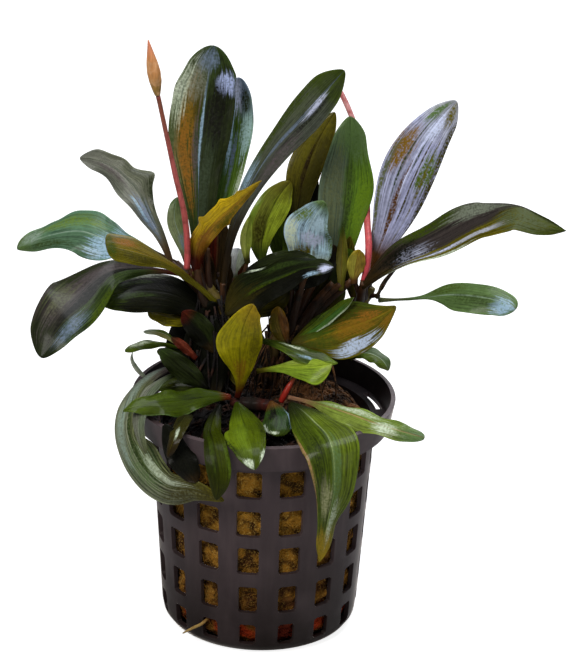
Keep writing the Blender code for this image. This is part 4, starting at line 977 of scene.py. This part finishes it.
# Its pale blue halves are a painted sheen over the whole blade.
leaf("leaf_30", ((8, 5, 75), (8, 4, 81.5), (8.5, 2, 87), (11.5, 0, 93.5)), (3, 4.1, 5.1, 3.4, 1.9),
     (4.6, 5.3, 4.6, 3, 1.7), FRONT, (tone(160, 190, 210), tone(160, 190, 206), PALE, SAGE, MIST),
     ((0.72, 0.5, 0.12, 0.6, tone(176, 204, 220), 0.9), (0.3, -0.3, 0.14, 0.6, OLIVE, 0.8),
      (0.5, -0.75, 0.2, 0.3, PALE, 0.8), (0.78, -0.6, 0.1, 0.4, GRASS, 0.7),
      (0.5, 0.2, 0.1, 0.5, LAVENDER, 0.7), (0.55, 0.95, 0.3, 0.2, SAGE, 0.7)),
     foot_end=0.32, streak=1.0, mottle=0.9, fold=8, waves=(0.4, 2.5, 0.3))
leaf("leaf_31", ((-8, 2, 67.5), (-3.5, 0, 73.5), (2.5, -3, 78), (8.5, -6, 81.5), (13.5, -8, 82.5)),
     (4.6, 4.0, 3.7, 2.4, 1.5), (4.2, 4.6, 3.4, 2.4, 1.6), SLANT,
     (tone(20, 26, 7), INK, tone(48, 42, 10), PINE, BOTTLE),
     ((0.95, 0.3, 0.05, 0.6, LAVENDER, 1.0), (0.84, 0.7, 0.06, 0.2, ICE, 0.8),
      (0.36, -0.95, 0.06, 0.1, PALE, 0.6), (0.6, -0.6, 0.2, 0.2, BOTTLE, 0.6),
      (0.2, 0.3, 0.2, 0.6, tone(46, 42, 10), 0.8), (0.5, 0.1, 0.3, 0.06, MOSS, 0.6),
      (0.4, 0.6, 0.2, 0.2, INK, 0.8)), gloss=0.3, waves=(0.5, 2.5, 0), streak=1.0,
     mottle=0.8)
leaf("leaf_33", ((18, 4.3, 74.3), (18.3, 4.3, 77.7), (19, 4.3, 81.7)), (1, 1.7, 1.9, 1.5, 0.95),
     (1, 1.7, 1.9, 1.5, 0.95), FRONT, (tone(150, 142, 50), tone(140, 118, 40), BRONZE, MUSTARD, OCHRE))
leaf("leaf_36", ((15.5, 6, 72), (15.5, 6, 79), (15.5, 7, 86)), (0.85, 1.2, 1.15, 0.7, 0.35),
     (0.85, 1.2, 1.15, 0.7, 0.35), FRONT, (tone(108, 102, 40), tone(112, 110, 30), OLIVE, MOSS, MUSTARD),
     tip=POINTED)
leaf("leaf_37", ((5, 0, 61.5), (3, 0, 65.5), (2.5, 1, 70)), (1.15, 1.8, 2.0, 1.6, 1.0),
     (1.15, 1.8, 2.0, 1.6, 1.0), FRONT, (tone(84, 70, 16), BRONZE, INK, OCHRE, UMBER),
     ((0.6, -0.6, 0.3, 0.3, BROWN_OLIVE, 0.8),), streak=0.8)
leaf("leaf_38", ((-4, 10, 76), (-4.5, 10, 81), (-3.5, 11, 86.5)), (0.8, 1.2, 1.2, 0.8, 0.4),
     (0.8, 1.2, 1.2, 0.8, 0.4), FRONT, (tone(220, 232, 110), tone(170, 186, 70), BROWN_OLIVE, LIME, LIME),
     tip=POINTED)
# Its near-white tones are a painted highlight over the whole small blade.
leaf("leaf_39", ((-6.5, 11, 72), (-6.5, 11, 75.5), (-6, 12, 78.5)), (0.5, 1.1, 1.9, 2.0, 1.4),
     (0.5, 1.1, 1.9, 2.0, 1.4), FRONT, (tone(226, 230, 230), PALE, GREY_SAGE, SILVER, SILVER))


# Low leaves grow forward from the front rhizome and hang over the rim. The long grey one at the
# left bends down outside the collar and back under its own tip. Pale patches at their tips and
# margins are painted highlights.

leaf("leaf_11", ((-0.5, -2, 63.5), (3, -4, 63.5), (7.5, -6, 62.5), (11.5, -6.5, 61.5), (15, -7, 61)),
     (0.9, 1.4, 1.9, 1.7, 0.8), (0.9, 1.5, 1.9, 1.5, 0.8), UP, (MOSS, LEAF, MOSS, GRASS, PINE),
     ((0.4, -0.5, 0.14, 0.2, PALE, 0.9), (0.62, 0.3, 0.14, 0.2, ICE, 0.8),
      (0.5, 0.6, 0.3, 0.3, BOTTLE, 0.7)), streak=0.8)
leaf("leaf_44", ((-1.5, -4, 57.6), (4, -6, 59.2), (8.5, -8, 60.2), (13.9, -9.2, 61.8)),
     (0.7, 1.6, 2.2, 1.7, 0.6), (0.6, 1.3, 2.4, 3.7, 2.0), SLANT,
     (tone(140, 164, 46), tone(120, 146, 36), OLIVE, LIME, LIME),
     ((0.55, -0.7, 0.2, 0.3, tone(176, 196, 90), 0.7),), tip=POINTED, streak=0.7)
leaf("leaf_12", ((-5.5, -5, 52), (-5, -6.5, 59), (-5, -7.5, 65), (-4, -8, 70.5), (-2.5, -8, 74)),
     (1.0, 3.4, 5.1, 3.2, 1.6), (1.6, 3.2, 4.4, 3.6, 2.0), FRONT,
     (tone(150, 142, 12), tone(132, 124, 8), WINE, MUSTARD, OLIVE),
     ((0.3, 0.0, 0.12, 0.6, OCHRE, 0.8), (0.55, 0.7, 0.3, 0.25, OLIVE, 0.7)), fold=8,
     foot_end=0.2, streak=0.4, mottle=0.8, tip=(0.12, 0.8), nicks=((1, 0.93, 0.4, 0.03),))
leaf("leaf_13", ((-7, -5, 52), (-12, -8.5, 53.2), (-17, -12, 53.7), (-22.5, -15, 54.4),
                 (-28.5, -17, 53.6)), (1.3, 2.6, 3.2, 2.1, 1.0), (2.3, 3.0, 3.1, 2.2, 1.4), UP,
     (tone(58, 74, 6), tone(54, 70, 4), tone(120, 44, 26), LEAF, MOSS),
     ((0.6, -0.97, 0.5, 0.06, SAGE, 0.5), (0.7, 0.5, 0.2, 0.3, LEAF, 0.5),
      (0.4, 0.3, 0.12, 0.5, PINE, 0.5)), waves=(0.5, 3.5, 0.1), streak=0.6, foot_end=0.11)
leaf("leaf_14", ((-5.5, -6, 51), (-4.2, -12.2, 50.1), (-2.9, -25.4, 52.7), (-2, -31, 52),
                 (-1.5, -34, 49.2)), (3.2, 3.8, 3.7, 2.9, 1.8), (2.7, 3.5, 4.7, 4.1, 2.7), UP,
     (tone(78, 94, 10), tone(98, 118, 18), MOSS, MOSS, MOSS),
     ((0.9, -0.9, 0.05, 0.2, PALE, 0.9), (0.965, 0.5, 0.04, 0.5, PALE, 0.9),
      (0.8, 0.95, 0.16, 0.12, PINE, 0.8), (0.5, -0.85, 0.3, 0.2, PINE, 0.6),
      (0.6, 0.3, 0.3, 0.3, GRASS, 0.4)), gloss=0.3, streak=0.5, waves=(0.2, 3, 0.5))
leaf("leaf_15", ((1.5, -8.4, 52.4), (2.7, -13, 51), (2.5, -16.6, 48.6)), (1.8, 2.7, 3.3, 2.9, 1.8),
     (1.8, 2.3, 2.9, 2.8, 1.8), UP, (tone(40, 66, 22), tone(40, 60, 14), BRONZE, MOSS, INK),
     ((0.55, -0.9, 0.2, 0.12, ICE, 0.8), (0.84, 0.85, 0.1, 0.16, PALE, 1.0),
      (0.93, 0.2, 0.04, 0.5, PALE, 0.9), (0.4, 0.3, 0.2, 0.4, INK, 0.8)), gloss=0.3, streak=0.8,
     foot_end=0.3)
leaf("leaf_16", ((5.5, -8.8, 52.5), (10.2, -18, 52.7), (14, -28.5, 51.3), (14.5, -30.5, 45.6),
                 (13.5, -28.5, 36), (12, -26, 25)), (4, 5.7, 4.2, 1.9, 1.3), (4.7, 5.9, 4, 1.9, 1.1),
     ((0, -0.3, 0.95), (0.1, -0.8, 0.6), (0.1, -1, 0.1)),
     (tone(84, 100, 22), tone(66, 82, 14), PINE, YELLOW_GREEN, tone(150, 166, 110)),
     ((0.55, -0.1, 0.2, 0.2, SAGE, 0.7), (0.66, 0.4, 0.1, 0.3, tone(150, 152, 110), 0.7),
      (0.95, 0, 0.12, 1.2, MUSTARD, 0.9), (0.4, 0.6, 0.2, 0.3, PINE, 0.5),
      (0.5, 0.97, 0.2, 0.1, tone(150, 120, 80), 0.8), (0.78, -0.3, 0.12, 0.25, PALE, 0.4)), foot_end=0.2,
     rib_width=0.07, streak=0.9, waves=(0.5, 3.2, 0.3), tip=(0.16, 0.4))
leaf("leaf_17", ((4, -4, 52), (11.5, -9.5, 52.7), (17.5, -14, 52.8), (23, -18, 52.5), (28, -21, 52.3),
                 (32.5, -23, 51.9)), (0.6, 1.7, 2.3, 2.1, 1.8), (0.6, 2.3, 2.8, 2.1, 1.8), UP,
     (tone(112, 134, 48), tone(118, 136, 54), PINK, SAGE, PINK),
     ((0.75, 0.2, 0.08, 0.6, PALE, 0.7), (0.5, -0.5, 0.2, 0.3, PALE, 0.5)), waves=(0.5, 4, 0.2),
     rib_width=0.12, foot_end=0.3, tip=BLUNT, streak=0.6)
leaf("leaf_18", ((-9, -8, 51.2), (-10.6, -19.5, 50.8), (-9.6, -28.1, 51), (-8.5, -31.5, 46.2),
                 (-9, -31.5, 41.2)), (1.7, 2.3, 2.5, 2.5, 1.5), (1.2, 1.5, 2.0, 2.4, 1.5),
     ((0, -0.3, 0.95), (0, -1, 0.2)), (tone(52, 62, 2), tone(38, 46, 3), INK, tone(46, 50, 3), INK),
     ((0.75, -0.85, 0.12, 0.2, LEAF, 0.8), (0.62, 0.3, 0.2, 0.2, MOSS, 0.6)), streak=0.7, gloss=0.1)
leaf("leaf_19", ((-18, 8, 53), (-23.5, 1, 53.3), (-27, -7.5, 52), (-27.6, -13.5, 47.2),
                 (-24.5, -17, 41.5), (-19.5, -22, 39.3), (-13.5, -26, 40.3), (-7.5, -28, 39.3)),
     (1.7, 4.2, 4.8, 3.4, 1.7), (2.7, 3.6, 4.2, 3.5, 1.4),
     ((-0.2, -0.3, 0.9), (-0.6, -0.7, 0.4), (-0.4, -0.9, 0.1), (0, -1, 0)),
     (GREY_SAGE, tone(112, 118, 94), MAUVE, OLIVE, PEWTER),
     ((0.88, 0, 0.16, 1.2, BROWN_OLIVE, 0.7), (0.62, 0, 0.12, 0.8, SAGE, 0.5),
      (0.45, 0.5, 0.14, 0.3, MIST, 0.7), (0.5, -0.1, 0.25, 0.12, BOTTLE, 0.8),
      (0.22, 0.2, 0.16, 0.5, MIST, 0.7), (0.7, -0.4, 0.15, 0.2, PALE, 0.5)),
     streak=1.5, mottle=0.3, waves=(0.3, 3, 0), nicks=((-1, 0.5, -1.6, 0.035),))
leaf("leaf_20", ((-18, 0, 54.7), (-22.5, -6.8, 55), (-25, -14.5, 53.2), (-25, -19.5, 50.2),
                 (-23.5, -21.5, 46.3)), (0.95, 1.55, 1.7, 1.35, 0.85), (0.95, 1.55, 1.7, 1.35, 0.85),
     ((-0.2, -0.3, 0.9), (-0.6, -0.7, 0.4)), (tone(96, 106, 84), PEWTER, PINE, GREY_SAGE, PEWTER),
     streak=1.2, mottle=0.3)
leaf("leaf_32", ((-14.5, -8, 50), (-16.5, -18.5, 52), (-17.5, -24.5, 51.7), (-19, -26, 47.7)),
     (1.05, 1.7, 1.9, 1.5, 0.95), (1.05, 1.7, 1.9, 1.5, 0.95), ((0, -0.3, 0.95), (-0.5, -0.8, 0.3)),
     (tone(52, 50, 12), tone(58, 54, 14), INK, UMBER, OLIVE),
     ((0.74, -0.1, 0.08, 0.25, PALE, 0.7), (0.45, 0.3, 0.15, 0.5, INK, 0.7)),
     foot_end=0.5, gloss=0.45)


# Where leaves meet a rhizome their stalks run on down inside the sheaths of older leaves, brown and
# red-brown. Round them stand and hang twenty-five small old leaves, dark green to almost black, and
# thin roots that reach the mat. The black one low at the front left is a sheet of painted shade.

# Each sheath: three points on its line, from the leaf down, and its radius.
SHEATH_LINES = (
    (((-14.5, 8, 76.5), (-13.6, 7.6, 73), (-12.2, 6.9, 68.5)), 1.15),
    (((-14.5, 6, 76), (-13.8, 5.7, 72), (-12.2, 5.6, 68)), 1.0),
    (((-12.4, 7.5, 80), (-12.1, 7.3, 74), (-11.2, 7, 67.5)), 0.7),
    (((-16, 8, 73.7), (-14.5, 8, 71), (-12.4, 7.5, 68)), 0.75),
    (((-19, 13.5, 74.4), (-16.5, 12, 72.3), (-13, 9.5, 69)), 0.8),
    (((-20, 11, 75.2), (-17.5, 10, 73), (-13.8, 8.5, 70)), 0.85),
    (((-16.5, 10, 75.2), (-15, 9, 72), (-12.8, 8, 69)), 0.65),
    (((-11.5, 11, 71), (-11.3, 9.8, 69), (-10.8, 8.2, 65)), 0.9),
    (((-9, 7, 72.5), (-9.2, 7, 69.5), (-9.7, 6.9, 65)), 0.85),
    (((-6.5, 11, 72.5), (-7.4, 9.8, 69), (-9, 8, 64.5)), 0.6),
    (((-4, 10, 76.5), (-5.4, 9.4, 72), (-8.4, 7.9, 65.5)), 0.5),
    (((-1, 13, 75.8), (0.6, 11.5, 70), (2.2, 9.2, 64)), 0.85),
    (((7, 15, 75.5), (5.6, 12.5, 69.5), (3.4, 8.8, 62)), 0.9),
    (((8, 5, 76.5), (6.6, 5.6, 70), (4.6, 5.6, 60)), 1.0),
    (((5.5, 7, 77), (5.2, 6.6, 70), (4.2, 5.8, 60)), 0.8),
    (((14, 7, 73), (10.4, 7, 68.4), (5.8, 6, 59.5)), 1.15),
    (((10.5, 9, 74), (8.2, 8.4, 68.5), (4.9, 7, 60)), 0.95),
    (((15.5, 6, 73.4), (12.2, 6.8, 70), (7.4, 6.6, 63.5)), 0.9),
    (((17.6, 6.6, 73.8), (15, 7, 71.2), (10, 7.2, 66)), 0.9),
    (((18, 4.3, 75), (18.9, 5.6, 72.4), (19.8, 7, 69)), 0.6),
    (((21.5, 8.5, 76), (21.2, 8.3, 73), (20.4, 8, 69.5)), 1.0),
    (((20, 4, 74.6), (19.8, 5.3, 72), (19.4, 6.8, 69)), 0.95),
    (((20, 5.5, 74.5), (20.3, 6.2, 72.4), (20.4, 7.2, 70)), 0.85),
    (((23.5, 6, 70.8), (22.6, 6.8, 70.6), (21.4, 7.6, 70)), 0.5),
    (((24, 4, 74), (25.6, 4, 76.6), (27.4, 4, 79.6)), 0.45),
)
HANGING = 190
HANGING_EDGE = 19.5


def stalk_bundle(lines, radii, count, sides, taper):
    """Rings of round stalks along smooth lines: the radius at share t is its own times taper(t)."""
    t = np.linspace(0, 1, count)
    paths = np.stack([smooth_line(line, t) for line in lines])
    return tubes_along(paths, np.array(radii)[:, None] * taper(t), sides)


sheath_finish = stalk_finish("sheath_finish", tone(74, 46, 24), tone(44, 24, 12), tone(34, 22, 10),
                             tone(12, 7, 5), 0.5)
lines, radii = zip(*SHEATH_LINES)
sheaths = stalk_bundle(lines, radii, 26, 14, lambda t: 0.75 + 0.35 * t)

rng = np.random.default_rng(31)
crown_at = np.array([[-11.2, 7, 67], [-10, 6.6, 60], [3, 7, 64], [10, 7, 62]])
which = rng.choice(4, HANGING, p=[0.42, 0.3, 0.18, 0.1])
top = crown_at[which] + rng.normal(0, 1, (HANGING, 3)) * (1.6, 1.6, 2.5)
swing = rng.normal(0, 1, (HANGING, 2)) * (3.4, 3.0)
foot_x, foot_y = top[:, 0] + swing[:, 0] - 1.2, np.minimum(top[:, 1] + swing[:, 1] - 2, 12)
pull = np.minimum(1, HANGING_EDGE / np.hypot(foot_x, foot_y))
foot = np.stack([foot_x * pull, foot_y * pull, mat_height(foot_x * pull, foot_y * pull)], axis=-1)
share = np.linspace(0, 1, 12)[None, :, None]
bow = np.stack([rng.normal(0, 1.5, HANGING), rng.normal(0, 1.2, HANGING), 0 * foot_x], axis=-1)[:, None]
hanging = top[:, None] * (1 - share) + foot[:, None] * share + bow * np.sin(np.pi * share)
hanging_rings = tubes_along(hanging, rng.uniform(0.1, 0.42, (HANGING, 1)) * np.linspace(1, 0.6, 12), 6)

for mesh, finish in ((skin("crown_sheaths", sheaths), sheath_finish),
                     (skin("hanging_roots", hanging_rings), root_bark)):
    piece = place(mesh, finish)
    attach(piece, "root")

NEAR_BLACK = (INK, INK, INK, UMBER, INK)
OLD = (UMBER, BROWN_OLIVE, INK, BROWN_OLIVE, UMBER)
# Each old leaf: its line, its greatest half-width, and its tones.
OLD_LEAVES = (
    (((-11, 4.5, 69.5), (-12.6, 5, 64), (-14.4, 4.6, 57), (-15.5, 3, 51.5)), 3.2, NEAR_BLACK),
    (((-12.2, 7.5, 68.5), (-15.4, 8.5, 63), (-18, 8, 56.5), (-19, 7, 51)), 3.4, NEAR_BLACK),
    (((-10.6, 3, 66), (-10.4, 1.5, 60), (-10.8, 0, 53), (-11.5, -1, 49.5)), 3.0, NEAR_BLACK),
    (((-11.5, 8, 67), (-17, 8.5, 66.5), (-22.5, 7, 64.5)), 2.6, NEAR_BLACK),
    (((-9.4, 5.2, 64), (-6.6, 3.4, 58), (-5.2, 1.6, 51.5)), 2.6, OLD),
    (((-8.5, 8, 66), (-5.6, 8, 60), (-4, 7.5, 52.5)), 3.2, NEAR_BLACK),
    (((4.6, 8, 59.5), (7.4, 8.6, 66), (10.6, 9.4, 71), (14, 10, 74.5)), 1.9, OLD),
    (((3.6, 9.5, 60), (5, 10.5, 68), (6.4, 12, 76)), 1.9, NEAR_BLACK),
    (((3, 7.6, 57), (0.6, 7, 53), (-1.6, 6, 50.5)), 2.4, NEAR_BLACK),
    (((6, 5, 58), (9, 6.5, 54), (12, 7.5, 51)), 2.4, NEAR_BLACK),
    (((-4, 6.5, 75.5), (1.6, 4.5, 78), (6.4, 2.4, 79.6), (11, 0.8, 79.2)), 2.4,
     (PINE, INK, INK, BOTTLE, PINE)),
    (((-8.6, 5.6, 67), (-4, 4.4, 69.6), (0.6, 3, 70.6), (4.6, 2.4, 73.6)), 3.4,
     (UMBER, BROWN_OLIVE, INK, INK, UMBER)),
    (((-11, 9.4, 66), (-10.6, 10.4, 74), (-10.4, 11.4, 80), (-10.6, 12, 86)), 3.0,
     (WINE, UMBER, INK, UMBER, BARK)),
    (((-12.8, 8.2, 66), (-13.2, 9, 73), (-13.2, 10, 79)), 2.6, (WINE, UMBER, INK, WINE, BARK)),
    (((-9.4, 12.6, 64), (-7, 14.6, 70), (-4.4, 16.6, 74)), 2.4, (UMBER, WINE, INK, BROWN_OLIVE, BARK)),
    (((8, 6.5, 62), (12, 7.4, 67.5), (16.4, 8.4, 71.5)), 2.6, (UMBER, BROWN_OLIVE, INK, MOSS, UMBER)),
    (((1.5, 6.4, 60), (3.5, 6.4, 68), (4, 6, 76)), 2.2, (BROWN_OLIVE, MOSS, INK, BROWN_OLIVE, UMBER)),
    (((3.6, 18, 71.9), (2.6, 20, 77.5), (1.2, 23, 84)), 2.4, (MOSS, LEAF, INK, GRASS, MOSS)),
    (((7, 14, 73.6), (7.2, 18, 81.7), (8.4, 24, 92.3)), 3.6, (UMBER, INK, INK, BROWN_OLIVE, INK)),
    (((18.8, 8, 68.4), (17.3, 9, 74.9), (17.1, 10, 82.5)), 1.6, (BROWN_OLIVE, OLIVE, UMBER, OLIVE, BARK)),
    (((5.3, 5, 72.6), (9.8, 6, 76.8), (14.2, 7, 81.4)), 3.4, NEAR_BLACK),
    (((-11.9, -1, 52.1), (-16.2, -2, 56.1), (-21.7, -2, 60.9)), 2.3, (PINE, PINE, INK, BOTTLE, INK)),
    # A black sheet behind the long grey leaf and in front of the collar: painted shade.
    (((-19.8, -20.5, 52.4), (-16.6, -23.5, 47.2), (-13, -26, 42.4)), 2.8, NEAR_BLACK),
    (((-14.3, 0.5, 58.2), (-16.8, 0.5, 60.6), (-19.5, 0.5, 62.8)), 1.0,
     (tone(84, 30, 16), tone(120, 54, 36), WINE, BARK, WINE)),
    (((-10.6, 1, 59.5), (-13.5, 1, 64.3), (-17.3, 1, 68.3)), 2.6, (INK, PINE, UMBER, WINE, INK)),
)
for number, (line, widest, tones) in enumerate(OLD_LEAVES):
    widths = tuple(widest * share for share in (0.7, 1, 1, 0.8, 0.5))
    leaf(f"old_leaf_{number + 1}", line, widths, widths, FRONT, tones,
         waves=(0.5, 2.3, 0.17 * number), streak=0.9, gloss=0.15, node=False)


# Three more leaves, broad and plain green, grow from the rhizomes towards the back and arch down
# behind the pot's rim.

leaf("leaf_45", ((-9, 9.5, 64), (-12, 17, 66), (-15, 26, 64), (-17, 33, 58)), (1.9, 3.05, 3.4, 2.7, 1.7),
     (1.9, 3.05, 3.4, 2.7, 1.7), SKY, (LEAF, MOSS, BRONZE, SAGE, GREY_SAGE))
leaf("leaf_46", ((13, 11.4, 57), (15, 20, 58), (16.5, 28, 56.5), (17.5, 35, 51.5)),
     (1.65, 2.7, 3, 2.4, 1.5), (1.65, 2.7, 3, 2.4, 1.5), SKY, (BOTTLE, LEAF, BRONZE, SAGE, GREY_SAGE))
leaf("leaf_47", ((3, 10, 51.2), (4, 16, 57.5), (4.5, 25, 60), (4.5, 33, 56)), (1.25, 1.8, 1.7, 1.1, 0.5),
     (1.25, 1.8, 1.7, 1.1, 0.5), SKY, (BOTTLE, MOSS, UMBER, SAGE, MOSS))


# Two flower stalks rise from the crowns, thin, round and pink. Each carries a bud: a pointed
# sheath, rolled shut, that shades from olive at its foot to salmon at its tip.

pink_stalk = stalk_finish("pink_stalk", tone(196, 84, 84), tone(184, 92, 88), tone(140, 80, 60),
                          tone(140, 64, 56))
pale_stalk = stalk_finish("pale_stalk", tone(206, 74, 86), tone(190, 96, 92), tone(226, 160, 160),
                          tone(170, 70, 70))
bud_sheath = stalk_finish("bud_sheath", tone(150, 118, 50), tone(222, 156, 96), tone(232, 146, 112),
                          tone(232, 180, 132), 0.45)
for node, finish, slot, points, radius, shares in (
    ("peduncle_left", pink_stalk, "stem",
     ((-16.5, 3.5, 77), (-16.5, 3, 83.5), (-17, 2.5, 88.5), (-19, 1.5, 98), (-21, 0, 108),
      (-22.5, -1, 115.5)), 0.58, (1.1, 1.1, 1.0, 0.9, 0.8, 0.8)),
    ("flower_bud", bud_sheath, "bud",
     ((-22.6, -1, 115.7), (-23.1, -1.3, 119), (-23.6, -1.6, 122), (-24.1, -1.8, 125), (-24.5, -2, 127.4)),
     1.32, (0.42, 0.72, 0.94, 1, 0.96, 0.8, 0.56, 0.32, 0.08)),
    ("peduncle_right", pale_stalk, "stem",
     ((20, 5.5, 73.5), (20.9, 5.7, 80), (20.6, 12.2, 85.5), (20, 18, 94.5), (17, 22, 104.5),
      (14.5, 23, 109.5)), 0.72, (1, 1, 1, 0.9, 0.8, 0.8)),
    ("bud_right", bud_sheath, "bud",
     ((14.2, 23.4, 109.9), (13.8, 25, 111), (13.4, 27.5, 111.5), (13, 30, 111.5)), 1.3,
     (0.5, 0.7, 0.95, 1, 0.85, 0.6, 0.3, 0.1)),
):
    piece = place(skin(node + "_skin", stem_rings(points, radius, shares, count=72, sides=24)), finish)
    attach(piece, "root")
    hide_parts(node)


# A red shoot, a leaf still rolled up, stands at the front, and one straw-coloured root has grown
# out through a hole near the pot's foot.

red_shoot = stalk_finish("red_shoot", tone(150, 36, 28), tone(170, 50, 36), tone(120, 60, 30),
                         tone(120, 30, 24), 0.3)
straw_root = stalk_finish("straw_root", tone(150, 116, 60), tone(176, 146, 84), tone(190, 164, 110),
                          tone(130, 96, 50), 0.7)
for node, finish, slot, points, radius, shares in (
    ("shoot_front", red_shoot, "stem", ((3.6, -5.4, 51.4), (4.8, -5, 54), (6.5, -4, 56.5)),
     0.6, (1, 1.1, 0.9, 0.3)),
    ("stray_root", straw_root, "roots",
     ((-10.6, -16.6, 6.5), (-11.7, -18.1, 6), (-13.5, -17.6, 4.7), (-15.8, -16, 2.4)),
     0.28, (1, 1.2, 1, 0.5)),
):
    piece = place(skin(node + "_skin", stem_rings(points, radius, shares, count=40, sides=12)), finish)
    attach(piece, "root")
    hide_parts(node)


# The studio: a white floor that fades into a white room, broad soft lights from the front, the left
# and above, and a camera that looks down on the pot from a distance.

floor_mesh = bpy.data.meshes.new("studio_floor")
far = 3000 * np.array([[-1, -1, 0], [1, -1, 0], [1, 1, 0], [-1, 1, 0]], float)
fill_mesh(floor_mesh, far, [np.array([[0, 1, 2, 3]])])
white_floor, nodes, shader = new_finish("white_floor", 0.8)
grain = cloud(nodes, add(nodes, "ShaderNodeTexCoord").outputs["Object"], 30)
nodes.links.new(blend_colour(nodes, grain, (0.42, 0.42, 0.43, 1), (0.46, 0.46, 0.46, 1)),
                shader.inputs["Base Color"])
shader.inputs["Emission Color"].default_value = (1, 1, 1, 1)
seen = add(nodes, "ShaderNodeLightPath").outputs["Is Camera Ray"]
nodes.links.new(maths(nodes, "MULTIPLY", seen, 0.85), shader.inputs["Emission Strength"])
place(floor_mesh, white_floor)

room = bpy.data.worlds.new("white_room")
bpy.context.scene.world = room
room.use_nodes = True
sky = room.node_tree.nodes["Background"]
seen = add(room.node_tree, "ShaderNodeLightPath").outputs["Is Camera Ray"]
white = blend_colour(room.node_tree, seen, (0.7, 0.7, 0.7, 1), (1, 1, 1, 1))
room.node_tree.links.new(white, sky.inputs["Color"])
room.node_tree.links.new(maths(room.node_tree, "MULTIPLY_ADD", seen, 0.95, 0.1), sky.inputs["Strength"])


def soft_light(name, where, target, size, power, colour):
    """A square lamp at where, in metres, that faces target."""
    lamp = bpy.data.lights.new(name, "AREA")
    lamp.size = size
    lamp.energy = power
    lamp.color = colour
    obj = bpy.data.objects.new(name, lamp)
    bpy.context.scene.collection.objects.link(obj)
    look(obj, np.array(where), np.array(target) - np.array(where), np.array([0, 0, 1.0]))


def look(obj, where, ahead, up):
    """Puts a lamp or camera at where, so that it looks ahead with up towards the top."""
    back = -unit(ahead)
    right = unit(np.cross(up, back))
    turned_up = np.cross(back, right)
    rows = np.stack([right, turned_up, back, where], axis=-1)
    obj.matrix_world = Matrix([*rows.tolist(), [0, 0, 0, 1]])


soft_light("front_left", (-0.4, -0.6, 0.75), (0, 0, 0.07), 0.42, 6.0, (1, 0.97, 0.92))
soft_light("front_right", (0.6, -0.7, 0.35), (0, 0, 0.06), 0.5, 1.0, (1, 0.97, 0.94))
soft_light("overhead", (0.1, 0.05, 0.7), (0, 0, 0.06), 0.35, 2.8, (0.93, 0.96, 1))
soft_light("back_rim", (0.3, 0.6, 0.5), (0, 0, 0.08), 0.4, 2.6, (0.93, 0.96, 1))

# The camera stands 600 mm from a point on the pot's axis, 26.3 mm up, and looks down on it by 26
# degrees with 1.32 degrees of roll. That point is seen at (265.3, 499.6) in a 583 by 665 picture.

WIDE, TALL = 583, 665
AIM_X, AIM_Y = 265.3, 499.6
AIM_HEIGHT = 26.3
DISTANCE = 600
LOOK_DOWN, ROLL = 26, 1.32
# The focal length in pixels: 4.709 of them are one millimetre at the pot's axis.
FOCUS = 4.709 * DISTANCE
SENSOR = 36


def spun(vector, axis, angle):
    """The vector turned about the axis: v cos a + (axis x v) sin a + axis (axis . v) (1 - cos a)."""
    turned_part = vector * math.cos(angle) + np.cross(axis, vector) * math.sin(angle)
    return turned_part + axis * np.dot(axis, vector) * (1 - math.cos(angle))


down = math.radians(LOOK_DOWN)
ahead = np.array([0, math.cos(down), -math.sin(down)])
right = np.array([1.0, 0, 0])
up = np.cross(right, ahead)
eye = np.array([0, 0, AIM_HEIGHT]) - ahead * DISTANCE
sideways = math.atan((AIM_X - WIDE / 2) / FOCUS)
ahead, right = spun(ahead, up, sideways), spun(right, up, sideways)
upward = math.atan((AIM_Y - TALL / 2) / FOCUS)
ahead = spun(ahead, right, upward)
up = np.cross(right, ahead)
roll = math.radians(ROLL)
up = -math.sin(roll) * right + math.cos(roll) * up
lens = bpy.data.cameras.new("camera")
lens.sensor_width = SENSOR
lens.lens = FOCUS / TALL * SENSOR
lens.clip_end = 20
camera = bpy.data.objects.new("camera", lens)
bpy.context.scene.collection.objects.link(camera)
look(camera, eye * MM, ahead, up)
bpy.context.scene.camera = camera
bpy.context.scene.view_settings.view_transform = "Standard"
bpy.context.scene.view_settings.look = "None"

bpy.context.view_layer.update()
